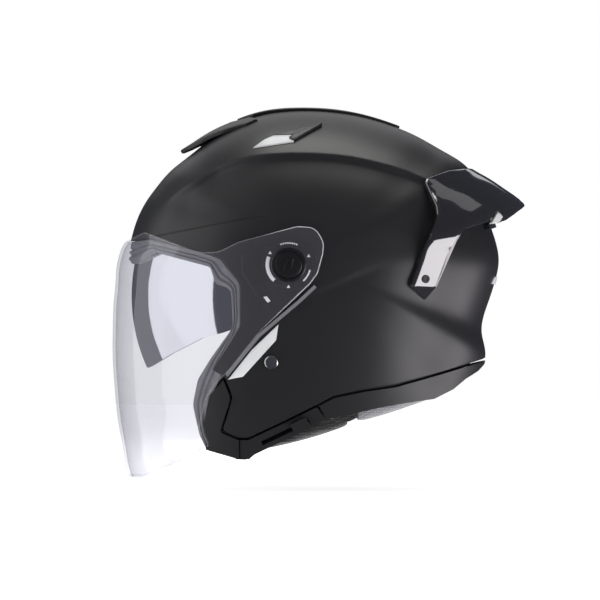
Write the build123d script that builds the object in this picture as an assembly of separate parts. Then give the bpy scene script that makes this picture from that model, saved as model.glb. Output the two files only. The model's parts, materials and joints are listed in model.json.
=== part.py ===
from build123d import *
from functools import lru_cache
import math
import os

# Open face motorcycle helmet, in millimetres.
# Origin: centre of the head cavity.  -Y is the front, +X the wearer's left, +Z up.

# ---- driving dimensions --------------------------------------------------------------
SHELL_HALF_WIDTH = 119.0
SHELL_FULLNESS = 2.3
SHELL_WALL = 3.2
VISOR_HALF_WIDTH = 124.2
VISOR_FULLNESS = 2.2
VISOR_WALL = 2.2
HEAD_HALF_WIDTH = 77.5
LINER_THICK = 6.4
FIT_GAP = 0.4
TRIM_WALL = 2.2

VISOR_PIVOT = (-17.5, -2.7)
KNOB_RADIUS = 13.0
VISOR_HOLE_RADIUS = 11.0
HUB_RADIUS = 10.6
SUN_PIVOT = (-5.0, -26.0)
SUN_RADIUS = 132.0
SUN_HALF_WIDTH = 111.0
SUN_WALL = 2.0
SUN_PIN_RADIUS = 2.5
RIVET_SPOT = (-30.4, -75.2)
RIVET_RADIUS = 5.2
RIVET_BORE_RADIUS = 3.1
PIVOT_SCREW_RADIUS = 2.0
SPOILER_SCREW_SPOT = (84.4, -13.3)
SPOILER_SCREW_RADIUS = 1.5
SPOILER_BORE_RADIUS = 1.6
SPOILER_REACH = 5.0
SLIDE_FRONT = (-40.5, -137.0)
SLIDE_REAR = (-8.5, -121.5)
SLIDER_TRAVEL = 26.0
CHEEK_INNER = 57.0
NECK_HALF_WIDTH = 70.0
NECK_LENGTH = 190.0
STRAP_Y = -31.0
STRAP_WIDTH = 22.0
STRAP_THICK = 1.6
BUCKLE_PIN_RADIUS = 1.5
BUCKLE_SIZE = (44.0, 27.0, 9.0)
CABLE_RADIUS = 1.5
TRACK_SLOT_WIDTH = 3.4
FAR = 220.0

# Side profiles as (degrees up from the rear, reach from the head centre).
SHELL_PROFILE = [
    (0, 141.8), (10, 138.8), (20, 137.2), (25, 138), (30, 138.6), (35, 135.2), (40, 130.2),
    (50, 124), (60, 119.4), (70, 116.6), (80, 115.2), (90, 115), (100, 116.3), (110, 118.2),
    (120, 119.4), (130, 120.6), (140, 123), (148, 128), (154, 130.8), (160, 134), (166, 136.5),
    (173.5, 138.5), (182, 141), (192, 146), (202, 154), (212, 165), (222, 180), (232, 197),
    (242, 209), (256, 217), (270, 214), (285, 204), (300, 189), (314, 170), (325, 155),
    (332.5, 148.5), (337.5, 139.5), (342, 136.8), (348, 137.6), (354, 139.8),
]
VISOR_PROFILE = [
    (20, 150), (45, 148), (70, 146), (95, 144), (120, 142), (145, 142), (160, 142.4),
    (168, 142.8), (173.5, 142.2), (175.6, 144.8), (178, 146.6), (181, 148.3), (186, 150),
    (191, 153.3), (197.3, 158.4), (206.2, 168.6), (213, 178.5), (218, 187.9), (221.5, 194.9),
    (225, 202.8), (227.6, 210), (231, 217), (236, 221), (245, 226), (260, 229), (280, 225),
    (310, 200), (335, 170), (355, 155),
]
SCOOP_PROFILE = [
    (60, 112), (80, 112), (95, 113), (105, 115), (113, 117.2), (118, 119.6), (123.5, 122.6),
    (130.2, 125.8), (135.5, 128.6), (140.2, 131.3), (146, 134), (170, 136), (200, 130),
    (240, 120), (300, 112), (0, 112), (30, 112),
]
SPOILER_PROFILE = [
    (50, 124), (43, 130.5), (35, 136.5), (30.2, 140.7), (25.5, 148.2), (20.4, 157.2),
    (15, 167.4), (10, 170), (4, 157), (357, 148), (350, 145.5), (340, 143), (320, 158),
    (290, 196), (256, 214), (222, 184), (192, 150), (160, 136), (120, 122), (80, 118),
]
HEAD_PROFILE = [
    (0, 103), (25, 100), (50, 88), (75, 78), (90, 76), (110, 79), (135, 88), (160, 97),
    (180, 99), (200, 104), (220, 122), (245, 150), (270, 160), (300, 150), (325, 120),
    (345, 104),
]
STATIONS = (0, 0.26, 0.5, 0.7, 0.85, 0.94, 0.98, 0.998)


# ---- curved bodies ---------------------------------------------------------------------
def closed_body(profile, half_width, fullness, offset):
    """Body whose side profile shrinks to each side as a superellipse."""
    wires = []
    sides = [-s for s in reversed(STATIONS[1:])] + list(STATIONS)
    for side in sides:
        shrink = (1 - abs(side) ** fullness) ** (1 / fullness)
        points = []
        for angle, reach in sorted(profile):
            radius = (reach + offset) * shrink
            y = radius * math.cos(math.radians(angle))
            z = radius * math.sin(math.radians(angle))
            points.append(Vector(side * (half_width + offset), y, z))
        wires.append(Wire([Edge.make_spline(points, periodic=True)]))
    return Solid.make_loft(wires)


@lru_cache(maxsize=None)
def shell_body(offset):
    return closed_body(SHELL_PROFILE, SHELL_HALF_WIDTH, SHELL_FULLNESS, offset)


@lru_cache(maxsize=None)
def visor_body(offset):
    return closed_body(VISOR_PROFILE, VISOR_HALF_WIDTH, VISOR_FULLNESS, offset)


@lru_cache(maxsize=None)
def scoop_body(offset):
    return closed_body(SCOOP_PROFILE, SHELL_HALF_WIDTH, SHELL_FULLNESS, offset)


@lru_cache(maxsize=None)
def spoiler_body(offset):
    width = SHELL_HALF_WIDTH + SPOILER_REACH
    return closed_body(SPOILER_PROFILE, width, SHELL_FULLNESS, offset)


@lru_cache(maxsize=None)
def head_body(offset):
    return closed_body(HEAD_PROFILE, HEAD_HALF_WIDTH, 2.4, offset)


@lru_cache(maxsize=None)
def sun_body(offset):
    """Drum about the sun visor's hinge axis."""
    width = SUN_HALF_WIDTH + offset
    reach = SUN_RADIUS + offset
    y0, z0 = SUN_PIVOT
    shares = (0, 0.2, 0.4, 0.57, 0.72, 0.83, 0.91, 0.96, 0.985)
    sides = [-s for s in reversed(shares[1:])] + list(shares)
    rim = []
    for side in sides:
        radius = reach * (1 - abs(side) ** SHELL_FULLNESS) ** (1 / SHELL_FULLNESS)
        rim.append(Vector(side * width, y0 - radius, z0))
    left = Vector(rim[-1].X, y0, z0)
    right = Vector(rim[0].X, y0, z0)
    edges = [
        Edge.make_spline(rim),
        Edge.make_line(rim[-1], left),
        Edge.make_line(left, right),
        Edge.make_line(right, rim[0]),
    ]
    axis = Axis((0, y0, z0), (1, 0, 0))
    return Solid.revolve(Face(Wire(edges)), 360, axis)


# ---- small helpers -----------------------------------------------------------------------
def side_face(points, x):
    """Flat face in a plane across X; a third number rounds that corner."""
    corners = [Vector(x, p[0], p[1]) for p in points]
    face = Face(Wire.make_polygon(corners, close=True))
    radii = sorted({p[2] for p in points if len(p) == 3})
    for radius in radii:
        chosen = []
        for point in points:
            if len(point) < 3 or point[2] != radius:
                continue
            place = Vector(x, point[0], point[1])
            chosen += [v for v in face.vertices() if (Vector(v) - place).length < 1e-4]
        face = face.fillet_2d(radius, chosen)
    return face


def plate(points, x0=-FAR, x1=FAR):
    """Side outline (y, z) carried along X."""
    return Solid.extrude(side_face(points, x0), Vector(x1 - x0, 0, 0))


def plan(points, z0=-FAR, z1=FAR):
    """Top outline (x, y) carried along Z."""
    face = Face(Wire.make_polygon([Vector(x, y, z0) for x, y in points], close=True))
    return Solid.extrude(face, Vector(0, 0, z1 - z0))


def both_ways(points):
    """Plan outline completed with its own mirror image."""
    return points + [(-x, y) for x, y in reversed(points) if x != 0]


def band(points, up):
    """Side outline between a line and the same line moved up."""
    return points + [(y, z + up) for y, z in reversed(points)]


def rod(start, direction, radius, length):
    plane = Plane(origin=start, z_dir=direction)
    return Solid.make_cylinder(radius, length, plane)


def tube(start, direction, radius, bore, length):
    return rod(start, direction, radius, length) - rod(start, direction, bore, length)


def bodies(shape):
    """Solids of a result, without specks."""
    return [s for s in shape.solids() if s.volume > 0.5]


def mirrored(shape):
    return shape.mirror(Plane.YZ)


def surface_spot(body, y, z):
    """Point and outward normal on the left face of a closed body."""
    hits = body.find_intersection_points(Axis((0, y, z), (1, 0, 0)))
    return max(hits, key=lambda hit: hit[0].X)


nodes = {}


def add(name, *shapes):
    solids = []
    for shape in shapes:
        solids += bodies(shape)
    nodes[name] = solids


def add_pair(name, *shapes):
    add(name + "_left", *shapes)
    add(name + "_right", *[mirrored(shape) for shape in shapes])


# ---- side outlines -----------------------------------------------------------------------
BROW_LINE = [(-165, -1), (-136, -0.8), (-121.6, 7.6), (-84.4, -2.3), (-73.7, -6.1, 7),
             (-61.5, -22, 10), (-60, -49.4, 9)]
CHEEK_LINE = [(-76.8, -72.2), (-87.4, -88.9, 14), (-91.2, -107.9, 16), (-85.9, -130.7),
              (-81.5, -139.5)]
PORT_LINE = BROW_LINE + CHEEK_LINE
SEAL_LINE = [(-165, 15), (-138, 15.2), (-123.5, 16.8), (-84, 6.9), (-69, 2, 9), (-53.8, -17, 11),
             (-53.8, -50, 9), (-70.3, -74), (-80.6, -90, 14), (-84.2, -107.5, 16),
             (-79.5, -128.7), (-76, -137)]
GROOVE_LINE = [(-64.9, -86.6), (-59.3, -102.2, 8), (-67.3, -126.9, 3), (-55.7, -131.9, 4),
               (-47.9, -131.9, 6), (-19.8, -118.6), (4.6, -106.4), (16, -100.3, 10), (38, -95.8),
               (62.3, -92.3), (91.2, -84.4), (129.2, -73.7), (190, -60)]
SHELL_OUTLINE = (SEAL_LINE[:7] + [(-66, -68), (-72, -79)] + GROOVE_LINE + [(190, 150), (-165, 150)])
VISOR_OUTLINE = [(-170, 15.2), (-141, 15.9), (-126.9, 22, 4), (-82.1, 7.6, 10), (-62.3, 11.4),
                 (-35.7, 18.6), (-11.4, 25.1, 5), (1.5, 23.6, 5), (8, 13.7, 5), (8, 7.6, 4),
                 (3, -9.1, 3), (0.8, -15.2, 4), (-38.8, -52.4), (-63.8, -83.6, 10), (-71.4, -90.5),
                 (-79.5, -103, 6), (-84.5, -125, 5), (-83, -128), (-82.6, -143, 4), (-98.8, -152.8),
                 (-117, -159.6), (-131, -165), (-145, -162.3), (-170, -160)]
LIP_LINE = [(-82.6, -145), (-98.8, -154.6), (-117, -161.4), (-131, -166.8), (-145, -164.1),
            (-170, -162)]


# ---- shell and liners ----------------------------------------------------------------------
def make_shell():
    wall = shell_body(0) - shell_body(-SHELL_WALL)
    shell = wall & plate(SHELL_OUTLINE)
    for spot, radius in ((RIVET_SPOT, RIVET_BORE_RADIUS), (SPOILER_SCREW_SPOT, SPOILER_BORE_RADIUS)):
        point, normal = surface_spot(shell_body(0), *spot)
        bore = rod(point - normal * 12, normal, radius, 24)
        shell = shell - bore - mirrored(bore)
    pivot_bore = rod((90, *VISOR_PIVOT), (1, 0, 0), 2.6, 60)
    vent = plate([(-86, 76), (-70, 76), (-70, 120), (-86, 120)], -14, 14)
    shell = shell - pivot_bore - mirrored(pivot_bore) - vent
    add("outer_shell", shell)


def sun_pocket():
    """Space that the sun visor sweeps between lowered and raised."""
    y, z = SUN_PIVOT
    sector = [(y + 10, z - 12), (y + 10, z + 12), (y, z + 14)]
    for degrees in (122, 135, 150, 165, 180, 195, 207):
        turn = math.radians(degrees)
        sector.append((y + 190 * math.cos(turn), z + 190 * math.sin(turn)))
    sector.append((y, z - 14))
    return plate(sector) - sun_body(-SUN_WALL - 1.0)


def make_liners():
    foam = shell_body(-SHELL_WALL - FIT_GAP) - head_body(LINER_THICK + FIT_GAP)
    region = plate([(-165, 3), (-136, 3), (-121.6, 11.5), (-84.4, 2), (-70, -3), (-52, -18),
                    (-50, -36), (44, -36), (46, -58), (190, -58), (190, 150), (-165, 150)])
    foam = (foam & region) - sun_pocket()
    pivot_room = rod((98, *VISOR_PIVOT), (1, 0, 0), 8, 30)
    screw_point, screw_normal = surface_spot(shell_body(0), *SPOILER_SCREW_SPOT)
    screw_room = rod(screw_point - screw_normal * 14, screw_normal, 4.5, 20)
    duct = plate([(-90, 60), (-72, 60), (-72, 120), (-90, 120)], -11, 11)
    for room in (pivot_room, screw_room):
        foam = foam - room - mirrored(room)
    add("eps_liner", foam - duct)
    lining = head_body(LINER_THICK) - head_body(0)
    add("crown_liner", lining & plate([(-90, 26), (150, 26), (150, 120), (-90, 120)]))
    brow = [(-150, 8), (-121.6, 12.5), (-95, 6), (-60, 6), (-60, 25.4), (-90.6, 25.4),
            (-90.6, 60), (-150, 60)]
    add("brow_pad", lining & plate(brow))
    add("nape_liner", lining & plate([(46, -36), (46, 25.4), (150, 25.4), (150, -52), (60, -52)]))
    ear = plate([(-44, -35), (45.4, -35), (45.4, 25.4), (-44, 25.4)])
    add_pair("ear_liner", (lining & ear) & plate([(-60, -60), (60, -60), (60, 60), (-60, 60)], 0))


def cable_route():
    """Sun visor cable from the slider up to the hinge arm, inside the shell."""
    start, along, normal = slide_frame()
    exit_point = start - along * 11.3 - normal * 7.9
    return [tuple(exit_point), (100.2, 9.5, -106), (103.4, 15.5, -91), (105.4, 17, -74),
            (106.6, 12, -58), (107.2, 3.5, -45)]


def cable_tube(radius):
    path = cable_route()
    radii = []
    for before, corner, after in zip(path, path[1:], path[2:]):
        run_in = Vector(corner) - Vector(before)
        run_out = Vector(after) - Vector(corner)
        half_turn = math.radians(run_in.get_angle(run_out)) / 2
        radii.append(0.45 * min(run_in.length, run_out.length) / math.tan(half_turn))
    with BuildLine() as line:
        FilletPolyline(*path, radius=radii)
    wire = line.wires()[0]
    start = Plane(origin=wire.position_at(0), z_dir=wire.tangent_at(0))
    circle = Face(Wire([Edge.make_circle(radius, start)]))
    print("cable length", round(wire.length, 1), "bend radii", [round(r) for r in radii])
    return Solid.sweep(circle, wire)


def strap_path():
    """Left half of the chin strap in front view, as (x, z)."""
    return [(106, -63), (105.7, -72), (104.6, -84), (100.5, -98), (91, -111), (76, -120),
            (57, -125.4), (34, -128.4)]


def strap_solid(path, grow=0.0):
    """Ribbon of the strap's width along a path in front view."""
    half = STRAP_THICK / 2 + grow
    upper = []
    lower = []
    for index, (x, z) in enumerate(path):
        x0, z0 = path[max(index - 1, 0)]
        x1, z1 = path[min(index + 1, len(path) - 1)]
        length = math.hypot(x1 - x0, z1 - z0)
        across = ((z1 - z0) / length, -(x1 - x0) / length)
        upper.append(Vector(x - across[0] * half, 0, z - across[1] * half))
        lower.append(Vector(x + across[0] * half, 0, z + across[1] * half))
    y0 = STRAP_Y - STRAP_WIDTH / 2 - grow
    edges = [
        Edge.make_spline(upper),
        Edge.make_line(upper[-1], lower[-1]),
        Edge.make_spline(list(reversed(lower))),
        Edge.make_line(lower[0], upper[0]),
    ]
    face = Face(Wire(edges)).moved(Location((0, y0, 0)))
    return Solid.extrude(face, Vector(0, STRAP_WIDTH + 2 * grow, 0))


def neck_column():
    """Oval well that the head passes through."""
    oval = Wire([Edge.make_ellipse(NECK_LENGTH / 2, NECK_HALF_WIDTH,
                                   Plane(origin=(0, 0, -FAR), x_dir=(0, 1, 0), z_dir=(0, 0, 1)))])
    return Solid.extrude(Face(oval), Vector(0, 0, FAR))


def make_cheeks():
    outline = [(-57.5, -52), (-57.5, -36.6), (43.4, -36.6), (43.4, -92.5), (30, -99, 8),
               (28.9, -124.6, 5), (8, -130.6), (-19.8, -138.6), (-40, -143.6, 4), (-52, -141),
               (-68, -135), (-76, -131, 5), (-78, -108, 16), (-76.5, -92, 14), (-66, -70)]
    cheek = shell_body(-SHELL_WALL - TRIM_WALL - 3.2) - head_body(-9)
    cheek = cheek & plate(outline, CHEEK_INNER)
    slot = strap_solid([(106, -58)] + strap_path(), 0.5)
    cheek = cheek - slot - cable_tube(2.2) - sun_pocket()
    rivet_point, rivet_normal = surface_spot(shell_body(0), *RIVET_SPOT)
    cheek = cheek - rod(rivet_point - rivet_normal * 16, rivet_normal, 9, 16)
    add_pair("cheek_pad", max(bodies(cheek), key=lambda s: s.volume))
    roll = shell_body(-SHELL_WALL - TRIM_WALL - 1.5) - neck_column()
    roll_outline = [(47, -59), (45.4, -93.4), (32, -100), (30.8, -120.5), (36.5, -121.6, 3),
                    (64, -112.6), (91.2, -104.3), (108, -96.5, 4), (118, -84), (122, -74),
                    (120, -59)]
    add("neck_roll", roll & plate(roll_outline))


# ---- seals and lower trims -----------------------------------------------------------------
def make_seals():
    ring = shell_body(-0.6) - shell_body(-6.8)
    seal = ring & plate(SEAL_LINE + list(reversed(PORT_LINE)))
    seal = seal - sun_pocket_front() - plate(SHELL_OUTLINE)
    add("eyeport_gasket", max(bodies(seal), key=lambda s: s.volume))
    bead_line = [(1.5, -18.5), (-10, -29.3), (-40.4, -55.2), (-64.6, -85)]
    bead = [(y + 1.6, z - 1.2) for y, z in bead_line]
    bead += [(y + 0.1, z + 0.9) for y, z in reversed(bead_line)]
    strip = (shell_body(1.9) - shell_body(0)) & plate(bead, 0)
    add_pair("visor_bead", strip)


def sun_pocket_front():
    """Room in the seal's inner lip for the sun visor."""
    return sun_body(0.7) - sun_body(-SUN_WALL - 0.7)


def rim_piece(outline, lower_line, depth, offset=0.4):
    """Trim wall on the shell's surface with an inward flange along its lower edge."""
    wall = (shell_body(offset) - shell_body(-TRIM_WALL)) & plate(outline)
    flange = (shell_body(-TRIM_WALL) - shell_body(-depth)) & plate(band(lower_line, TRIM_WALL))
    return wall, flange


def make_trims():
    chin = [(-66.2, -88.6), (-76.5, -100.2, 5), (-81.6, -123.6, 4), (-79.6, -127.7), (-79.6, -140.8, 4),
            (-61.6, -145.9), (-54.6, -147.9), (-54.6, -133.6), (-69, -127.8, 3), (-60.8, -102.2, 8)]
    wall, flange = rim_piece(chin, [(-79.6, -140.8), (-61.6, -145.9), (-54.6, -147.9)], 8, 1.6)
    left = plate([(-100, -170), (60, -170), (60, 0), (-100, 0)], 0)
    seal_room = plate(SEAL_LINE + list(reversed(PORT_LINE)))
    add_pair("chin_trim", ((wall + flange) & left) - seal_room)
    side = [(-53.9, -133.4), (-47.6, -133.4, 6), (-19.2, -120), (3.6, -108.6), (9.6, -118),
            (-5, -125.2), (-16, -131), (-43, -144.2), (-47.1, -147.8, 3), (-53.9, -147.8)]
    wall, flange = rim_piece(side, [(-53.9, -147.8), (-47.1, -147.8), (-43, -144.2), (-16, -131),
                                    (-5, -125.2), (9.6, -118)], 8)
    trim = (wall + flange) & left
    add("side_trim_right", mirrored(trim))
    add("side_trim_left", trim - slider_slot())
    neck = [(5, -107.9), (16.4, -101.9, 10), (38.2, -97.4), (62.5, -93.9), (91.5, -86),
            (129.5, -75.3), (190, -61.6), (190, -66), (135, -73.5), (125.4, -82.5), (115.5, -88.2),
            (106, -95.8, 4), (91.2, -102.9), (71.4, -105.4), (47.6, -109.7), (27, -114.4), (11, -117.6)]
    neck_low = [(11, -117.6), (27, -114.4), (47.6, -109.7), (71.4, -105.4), (91.2, -102.9)]
    wall, flange = rim_piece(neck, neck_low, 5.5)
    add("neck_trim", wall + flange)


def slide_frame():
    """Start, direction and outward normal of the sun visor slider's straight track."""
    front, _ = surface_spot(shell_body(0), *SLIDE_FRONT)
    rear, normal = surface_spot(shell_body(0), *SLIDE_REAR)
    along = (front - rear).normalized()
    normal = (normal - along * normal.dot(along)).normalized()
    return rear, along, normal


def track_box(start, along, normal, length, width, bottom, top, back=0.0):
    """Block along the track; bottom and top are heights over the trim surface."""
    origin = start - along * back + normal * bottom
    plane = Plane(origin=origin, x_dir=along, z_dir=normal)
    corner = Plane(origin=origin - plane.y_dir * (width / 2), x_dir=along, z_dir=normal)
    return Solid.make_box(length + back, width, top - bottom, corner)


def slider_slot():
    start, along, normal = slide_frame()
    return track_box(start, along, normal, SLIDER_TRAVEL + 7, TRACK_SLOT_WIDTH, -12, 8, 7)


def make_slider():
    start, along, normal = slide_frame()
    stem = track_box(start, along, normal, 5, 2.6, -7.0, 2.4, 5)
    grip = track_box(start, along, normal, 6.5, 9, 2.0, 4.2, 6.5)
    foot = track_box(start, along, normal, 6, 7, -8.6, -6.6, 6)
    add("sun_visor_slider", stem + grip + foot)
    rail = track_box(start, along, normal, SLIDER_TRAVEL + 11, 11, -10.4, -5.4, 11)
    groove = track_box(start, along, normal, SLIDER_TRAVEL + 8, 7.8, -9.0, -6.2, 8)
    mouth = track_box(start, along, normal, SLIDER_TRAVEL + 8, TRACK_SLOT_WIDTH, -9.0, 8, 8)
    rail = rail - groove - mouth
    nodes["cheek_pad_left"] = bodies(nodes["cheek_pad_left"][0] - track_box(
        start, along, normal, SLIDER_TRAVEL + 13, 12.4, -11.4, 10, 13))
    side = nodes["side_trim_left"][0] - track_box(
        start, along, normal, SLIDER_TRAVEL + 12, 12, -10.8, -5.0, 12)
    add("side_trim_left", max(bodies(side), key=lambda s: s.volume))
    add("slider_rail", rail)
    add("sun_visor_cable", cable_tube(CABLE_RADIUS))


# ---- clear visor and its pivots --------------------------------------------------------------
def make_visor():
    sheet = (visor_body(0) - visor_body(-VISOR_WALL)) & plate(VISOR_OUTLINE)
    lip = (visor_body(1.6) - visor_body(-0.8)) & plate(band(LIP_LINE, 2.8))
    hole = rod((0, *VISOR_PIVOT), (1, 0, 0), VISOR_HOLE_RADIUS, FAR)
    add("visor", (sheet + lip) - hole - mirrored(hole))


def make_pivots():
    shell_point, _ = surface_spot(shell_body(0), *VISOR_PIVOT)
    face_x = shell_point.X
    visor_x = surface_spot(visor_body(0), *VISOR_PIVOT)[0].X
    y, z = VISOR_PIVOT
    base = [(-52.4, 5.3, 4), (-52.4, -8.4, 5), (-36.5, -33.4, 6), (-28.9, -41.5, 5), (-12, -26),
            (1, -13, 6), (3.6, 6, 6), (-3, 14, 5), (-14, 15)]
    outer = shell_body(0.9) - shell_body(0.02)
    left = plate([(-90, -90), (90, -90), (90, 90), (-90, 90)], 0)
    flat = (outer & plate(base)) & left
    boss = rod((face_x - 0.5, y, z), (1, 0, 0), HUB_RADIUS - 0.4, visor_x - face_x + 0.9)
    spring_seat = tube((visor_x - 2.6, y, z), (1, 0, 0), 7.6, 4.4, 5)
    screw_bore = rod((face_x - 2, y, z), (1, 0, 0), 2.2, 20)
    base_part = (flat + (boss - shell_body(0.02))) - spring_seat - screw_bore
    add_pair("pivot_base", base_part)
    spring = Solid.make_torus(6, 0.55, Plane(origin=(visor_x - 1.9, y, z), z_dir=(1, 0, 0)))
    add("detent_springs", spring, mirrored(spring))
    knob = rod((visor_x + 0.5, y, z), (1, 0, 0), KNOB_RADIUS, 3.2)
    rim = knob.edges().sort_by(Axis.X)[-1:]
    knob = knob.chamfer(0.8, None, rim)
    groove = plate([(y - 5.5, z - 4.4), (y - 2.3, z - 4.4), (y + 2.9, z + 4.4), (y - 0.3, z + 4.4)],
                   visor_x + 2.9, visor_x + 6)
    second = groove.moved(Location((0, 3.6, 0)))
    seat = rod((visor_x + 0.4, y, z), (1, 0, 0), 4.2, 2.4)
    knob = knob - groove - second - seat - rod((visor_x, y, z), (1, 0, 0), 2.2, 3)
    add_pair("visor_knob", knob)
    shank = rod((face_x - 9, y, z), (1, 0, 0), PIVOT_SCREW_RADIUS, visor_x - face_x + 9.45)
    head = rod((visor_x + 0.45, y, z), (1, 0, 0), 3.9, 1.8)
    nut = tube((face_x - 8, y, z), (1, 0, 0), 5, PIVOT_SCREW_RADIUS, 3)
    add("pivot_screws", shank + head, mirrored(shank + head))
    add("pivot_nuts", nut, mirrored(nut))


# ---- sun visor -----------------------------------------------------------------------------
def make_sun_visor():
    y, z = SUN_PIVOT
    outline = [(-150, 12), (-126, 13.5), (-95, 9, 12), (-60, -4), (-30, -13.5), (y, z + 8.5, 8),
               (y + 8.6, z + 4, 4), (y + 8.6, z - 4, 4), (y, z - 8.5, 8), (-40, -44, 20),
               (-66.1, -53.2, 14), (-82.1, -57.4), (-105.9, -69.7), (-122, -79.6, 5), (-128, -81, 4),
               (-131.5, -66, 5), (-150, -62)]
    sheet = (sun_body(0) - sun_body(-SUN_WALL)) & plate(outline)
    bore = rod((60, y, z), (1, 0, 0), SUN_PIN_RADIUS + 0.05, 80)
    add("sun_visor", sheet - bore - mirrored(bore))
    arm_x = SUN_HALF_WIDTH * 0.985
    pin = rod((arm_x - 5.4, y, z), (1, 0, 0), SUN_PIN_RADIUS, 8.6)
    inner = rod((arm_x - 8.4, y, z), (1, 0, 0), 8, 3)
    foam_seat = rod((arm_x - 9.0, y, z), (1, 0, 0), 9, 30)
    washer = tube((arm_x + 0.5, y, z), (1, 0, 0), 6, SUN_PIN_RADIUS, 1.4)
    add("sun_visor_pins", inner + pin, mirrored(inner + pin))
    add("sun_visor_washers", washer, mirrored(washer))
    room = foam_seat + mirrored(foam_seat)
    nodes["eps_liner"] = bodies(nodes["eps_liner"][0] - room)
    for side in ("left", "right"):
        nodes["cheek_pad_" + side] = bodies(nodes["cheek_pad_" + side][0] - room)


# ---- vents and spoiler -----------------------------------------------------------------------
def make_vents():
    roof = both_ways([(0, -106), (10, -104.5), (19, -98), (29.5, -88), (41, -68), (48, -48),
                      (44, -40), (20, -44), (0, -46)])
    side_cut = [(-102.5, 83.8), (-95, 83.3), (-92.2, 80.4), (-89, 77), (-70, 70), (-30, 70),
                (-30, 130), (-115, 130), (-115, 83.8)]
    hood = ((scoop_body(0) & plan(roof, 40, 130)) & plate(side_cut)) - shell_body(0.02)
    mouth = both_ways([(0, -120), (17, -112), (15, -98), (22, -86), (20, -76), (0, -74)])
    hollow = (scoop_body(-2.4) & plan(mouth, 40, 130)) - shell_body(0.02)
    add("front_scoop", max(bodies(hood - hollow), key=lambda s: s.volume))
    strip = both_ways([(0, -83), (17, -83), (17, -80), (0, -80)])
    mesh = (scoop_body(-2.6) - shell_body(0.3)) & plan(strip)
    bars = [plan([(3.6 * n - 1.1, -90), (3.6 * n + 1.1, -90), (3.6 * n + 1.1, -70),
                  (3.6 * n - 1.1, -70)], 93, 130) for n in range(-4, 5)]
    for bar in bars:
        mesh = mesh - bar
    add("scoop_grille", mesh)
    ridge = both_ways([(0, -55.5), (12, -54), (21, -44), (24, -20), (23, 20), (14, 62), (0, 66)])
    panel = (shell_body(2.0) - shell_body(0.02)) & plan(ridge, 60, 130)
    slot = plan(both_ways([(0, -46), (7.4, -46), (7.4, -20), (0, -20)]), 60, 130)
    add("crown_ridge", panel - hood - slot)
    button = (shell_body(3.6) - shell_body(0.9)) & plan(
        both_ways([(0, -45), (7, -45), (7, -31), (0, -31)]), 60, 130)
    add("top_vent_slider", button)
    inset = [(-43.5, 87), (-27.4, 97.3), (-18.5, 95.2), (5.5, 105.5), (7.3, 104), (-13.7, 91.2)]
    tray = (shell_body(0.7) - shell_body(0.02)) & plate(inset, 0)
    fin_line = [(-16.9, 93.2), (7.3, 103.9), (8.8, 106.8), (-2, 102.8), (-16, 96.2)]
    fin = (shell_body(3.4) - shell_body(0.8)) & plate(fin_line, 0)
    add_pair("crown_vent", tray)
    add_pair("crown_fin", fin)


def make_spoiler():
    outline = [(84, 61.6, 3), (101.8, 68.4), (121.6, 71.6), (133.8, 64.8), (147.4, 55.6),
               (163, 43.6), (146.4, 31.4), (139.8, 38.6, 3), (131.5, 29.6), (114, 24.3, 6),
               (108.4, 15.2), (93.3, -19), (86.6, -30.7, 2), (73.5, -19, 4), (91.6, 28.4),
               (93.5, 35.7, 8), (92.7, 41.8)]
    wing_plan = both_ways([(0, 60), (118, 60), (118, 92), (96, 100), (87, 112), (77, 128), (66, 142),
                           (52, 154), (30, 170), (0, 170)])
    spoiler = ((spoiler_body(0) - shell_body(0.02)) & plate(outline)) & plan(wing_plan)
    tunnel_outline = [(118, 20), (118, 52), (136, 54), (150, 45), (157, 40.5), (150, 20)]
    tunnel = (spoiler_body(-3.2) - shell_body(0.02)) & plate(tunnel_outline, -46, 46)
    spoiler = spoiler - tunnel
    point, normal = surface_spot(shell_body(0), *SPOILER_SCREW_SPOT)
    top = point + normal * SPOILER_REACH
    screw = rod(top - normal * 10, normal, SPOILER_SCREW_RADIUS, 9.4)
    screw = screw + rod(top - normal * 0.7, normal, 2.7, 1.3)
    bore = rod(top - normal * 12, normal, SPOILER_BORE_RADIUS, 16)
    bore = bore + rod(top - normal * 0.8, normal, 2.8, 6)
    spoiler = spoiler - bore - mirrored(bore)
    add("spoiler", max(bodies(spoiler), key=lambda s: s.volume))
    add("spoiler_screws", screw, mirrored(screw))
    grille = (shell_body(1.6) - shell_body(0.02)) & plate(
        [(100, 29), (160, 29), (160, 46), (100, 46)], -40, 40)
    frame = (shell_body(4.2) - shell_body(0.02)) & plate(
        [(100, 25), (160, 25), (160, 28.6), (100, 28.6)], -44, 44)
    add("rear_vent_grille", grille - nodes["spoiler"][0])
    add("rear_vent_trim", frame - nodes["spoiler"][0])
    lower = (shell_body(1.4) - shell_body(0.02)) & plate(
        [(100, -10.5), (160, -11), (160, -17.5), (100, -17.5)], 16, 36)
    add_pair("rear_reflector", lower)


def make_decals():
    stripe = [(-25.1, -47), (-26.8, -58.7, 2), (-51.5, -85.9, 2), (-62.5, -88.0), (-45, -66)]
    add_pair("side_decal", (shell_body(0.35) - shell_body(0.02)) & plate(stripe, 0))


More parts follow.
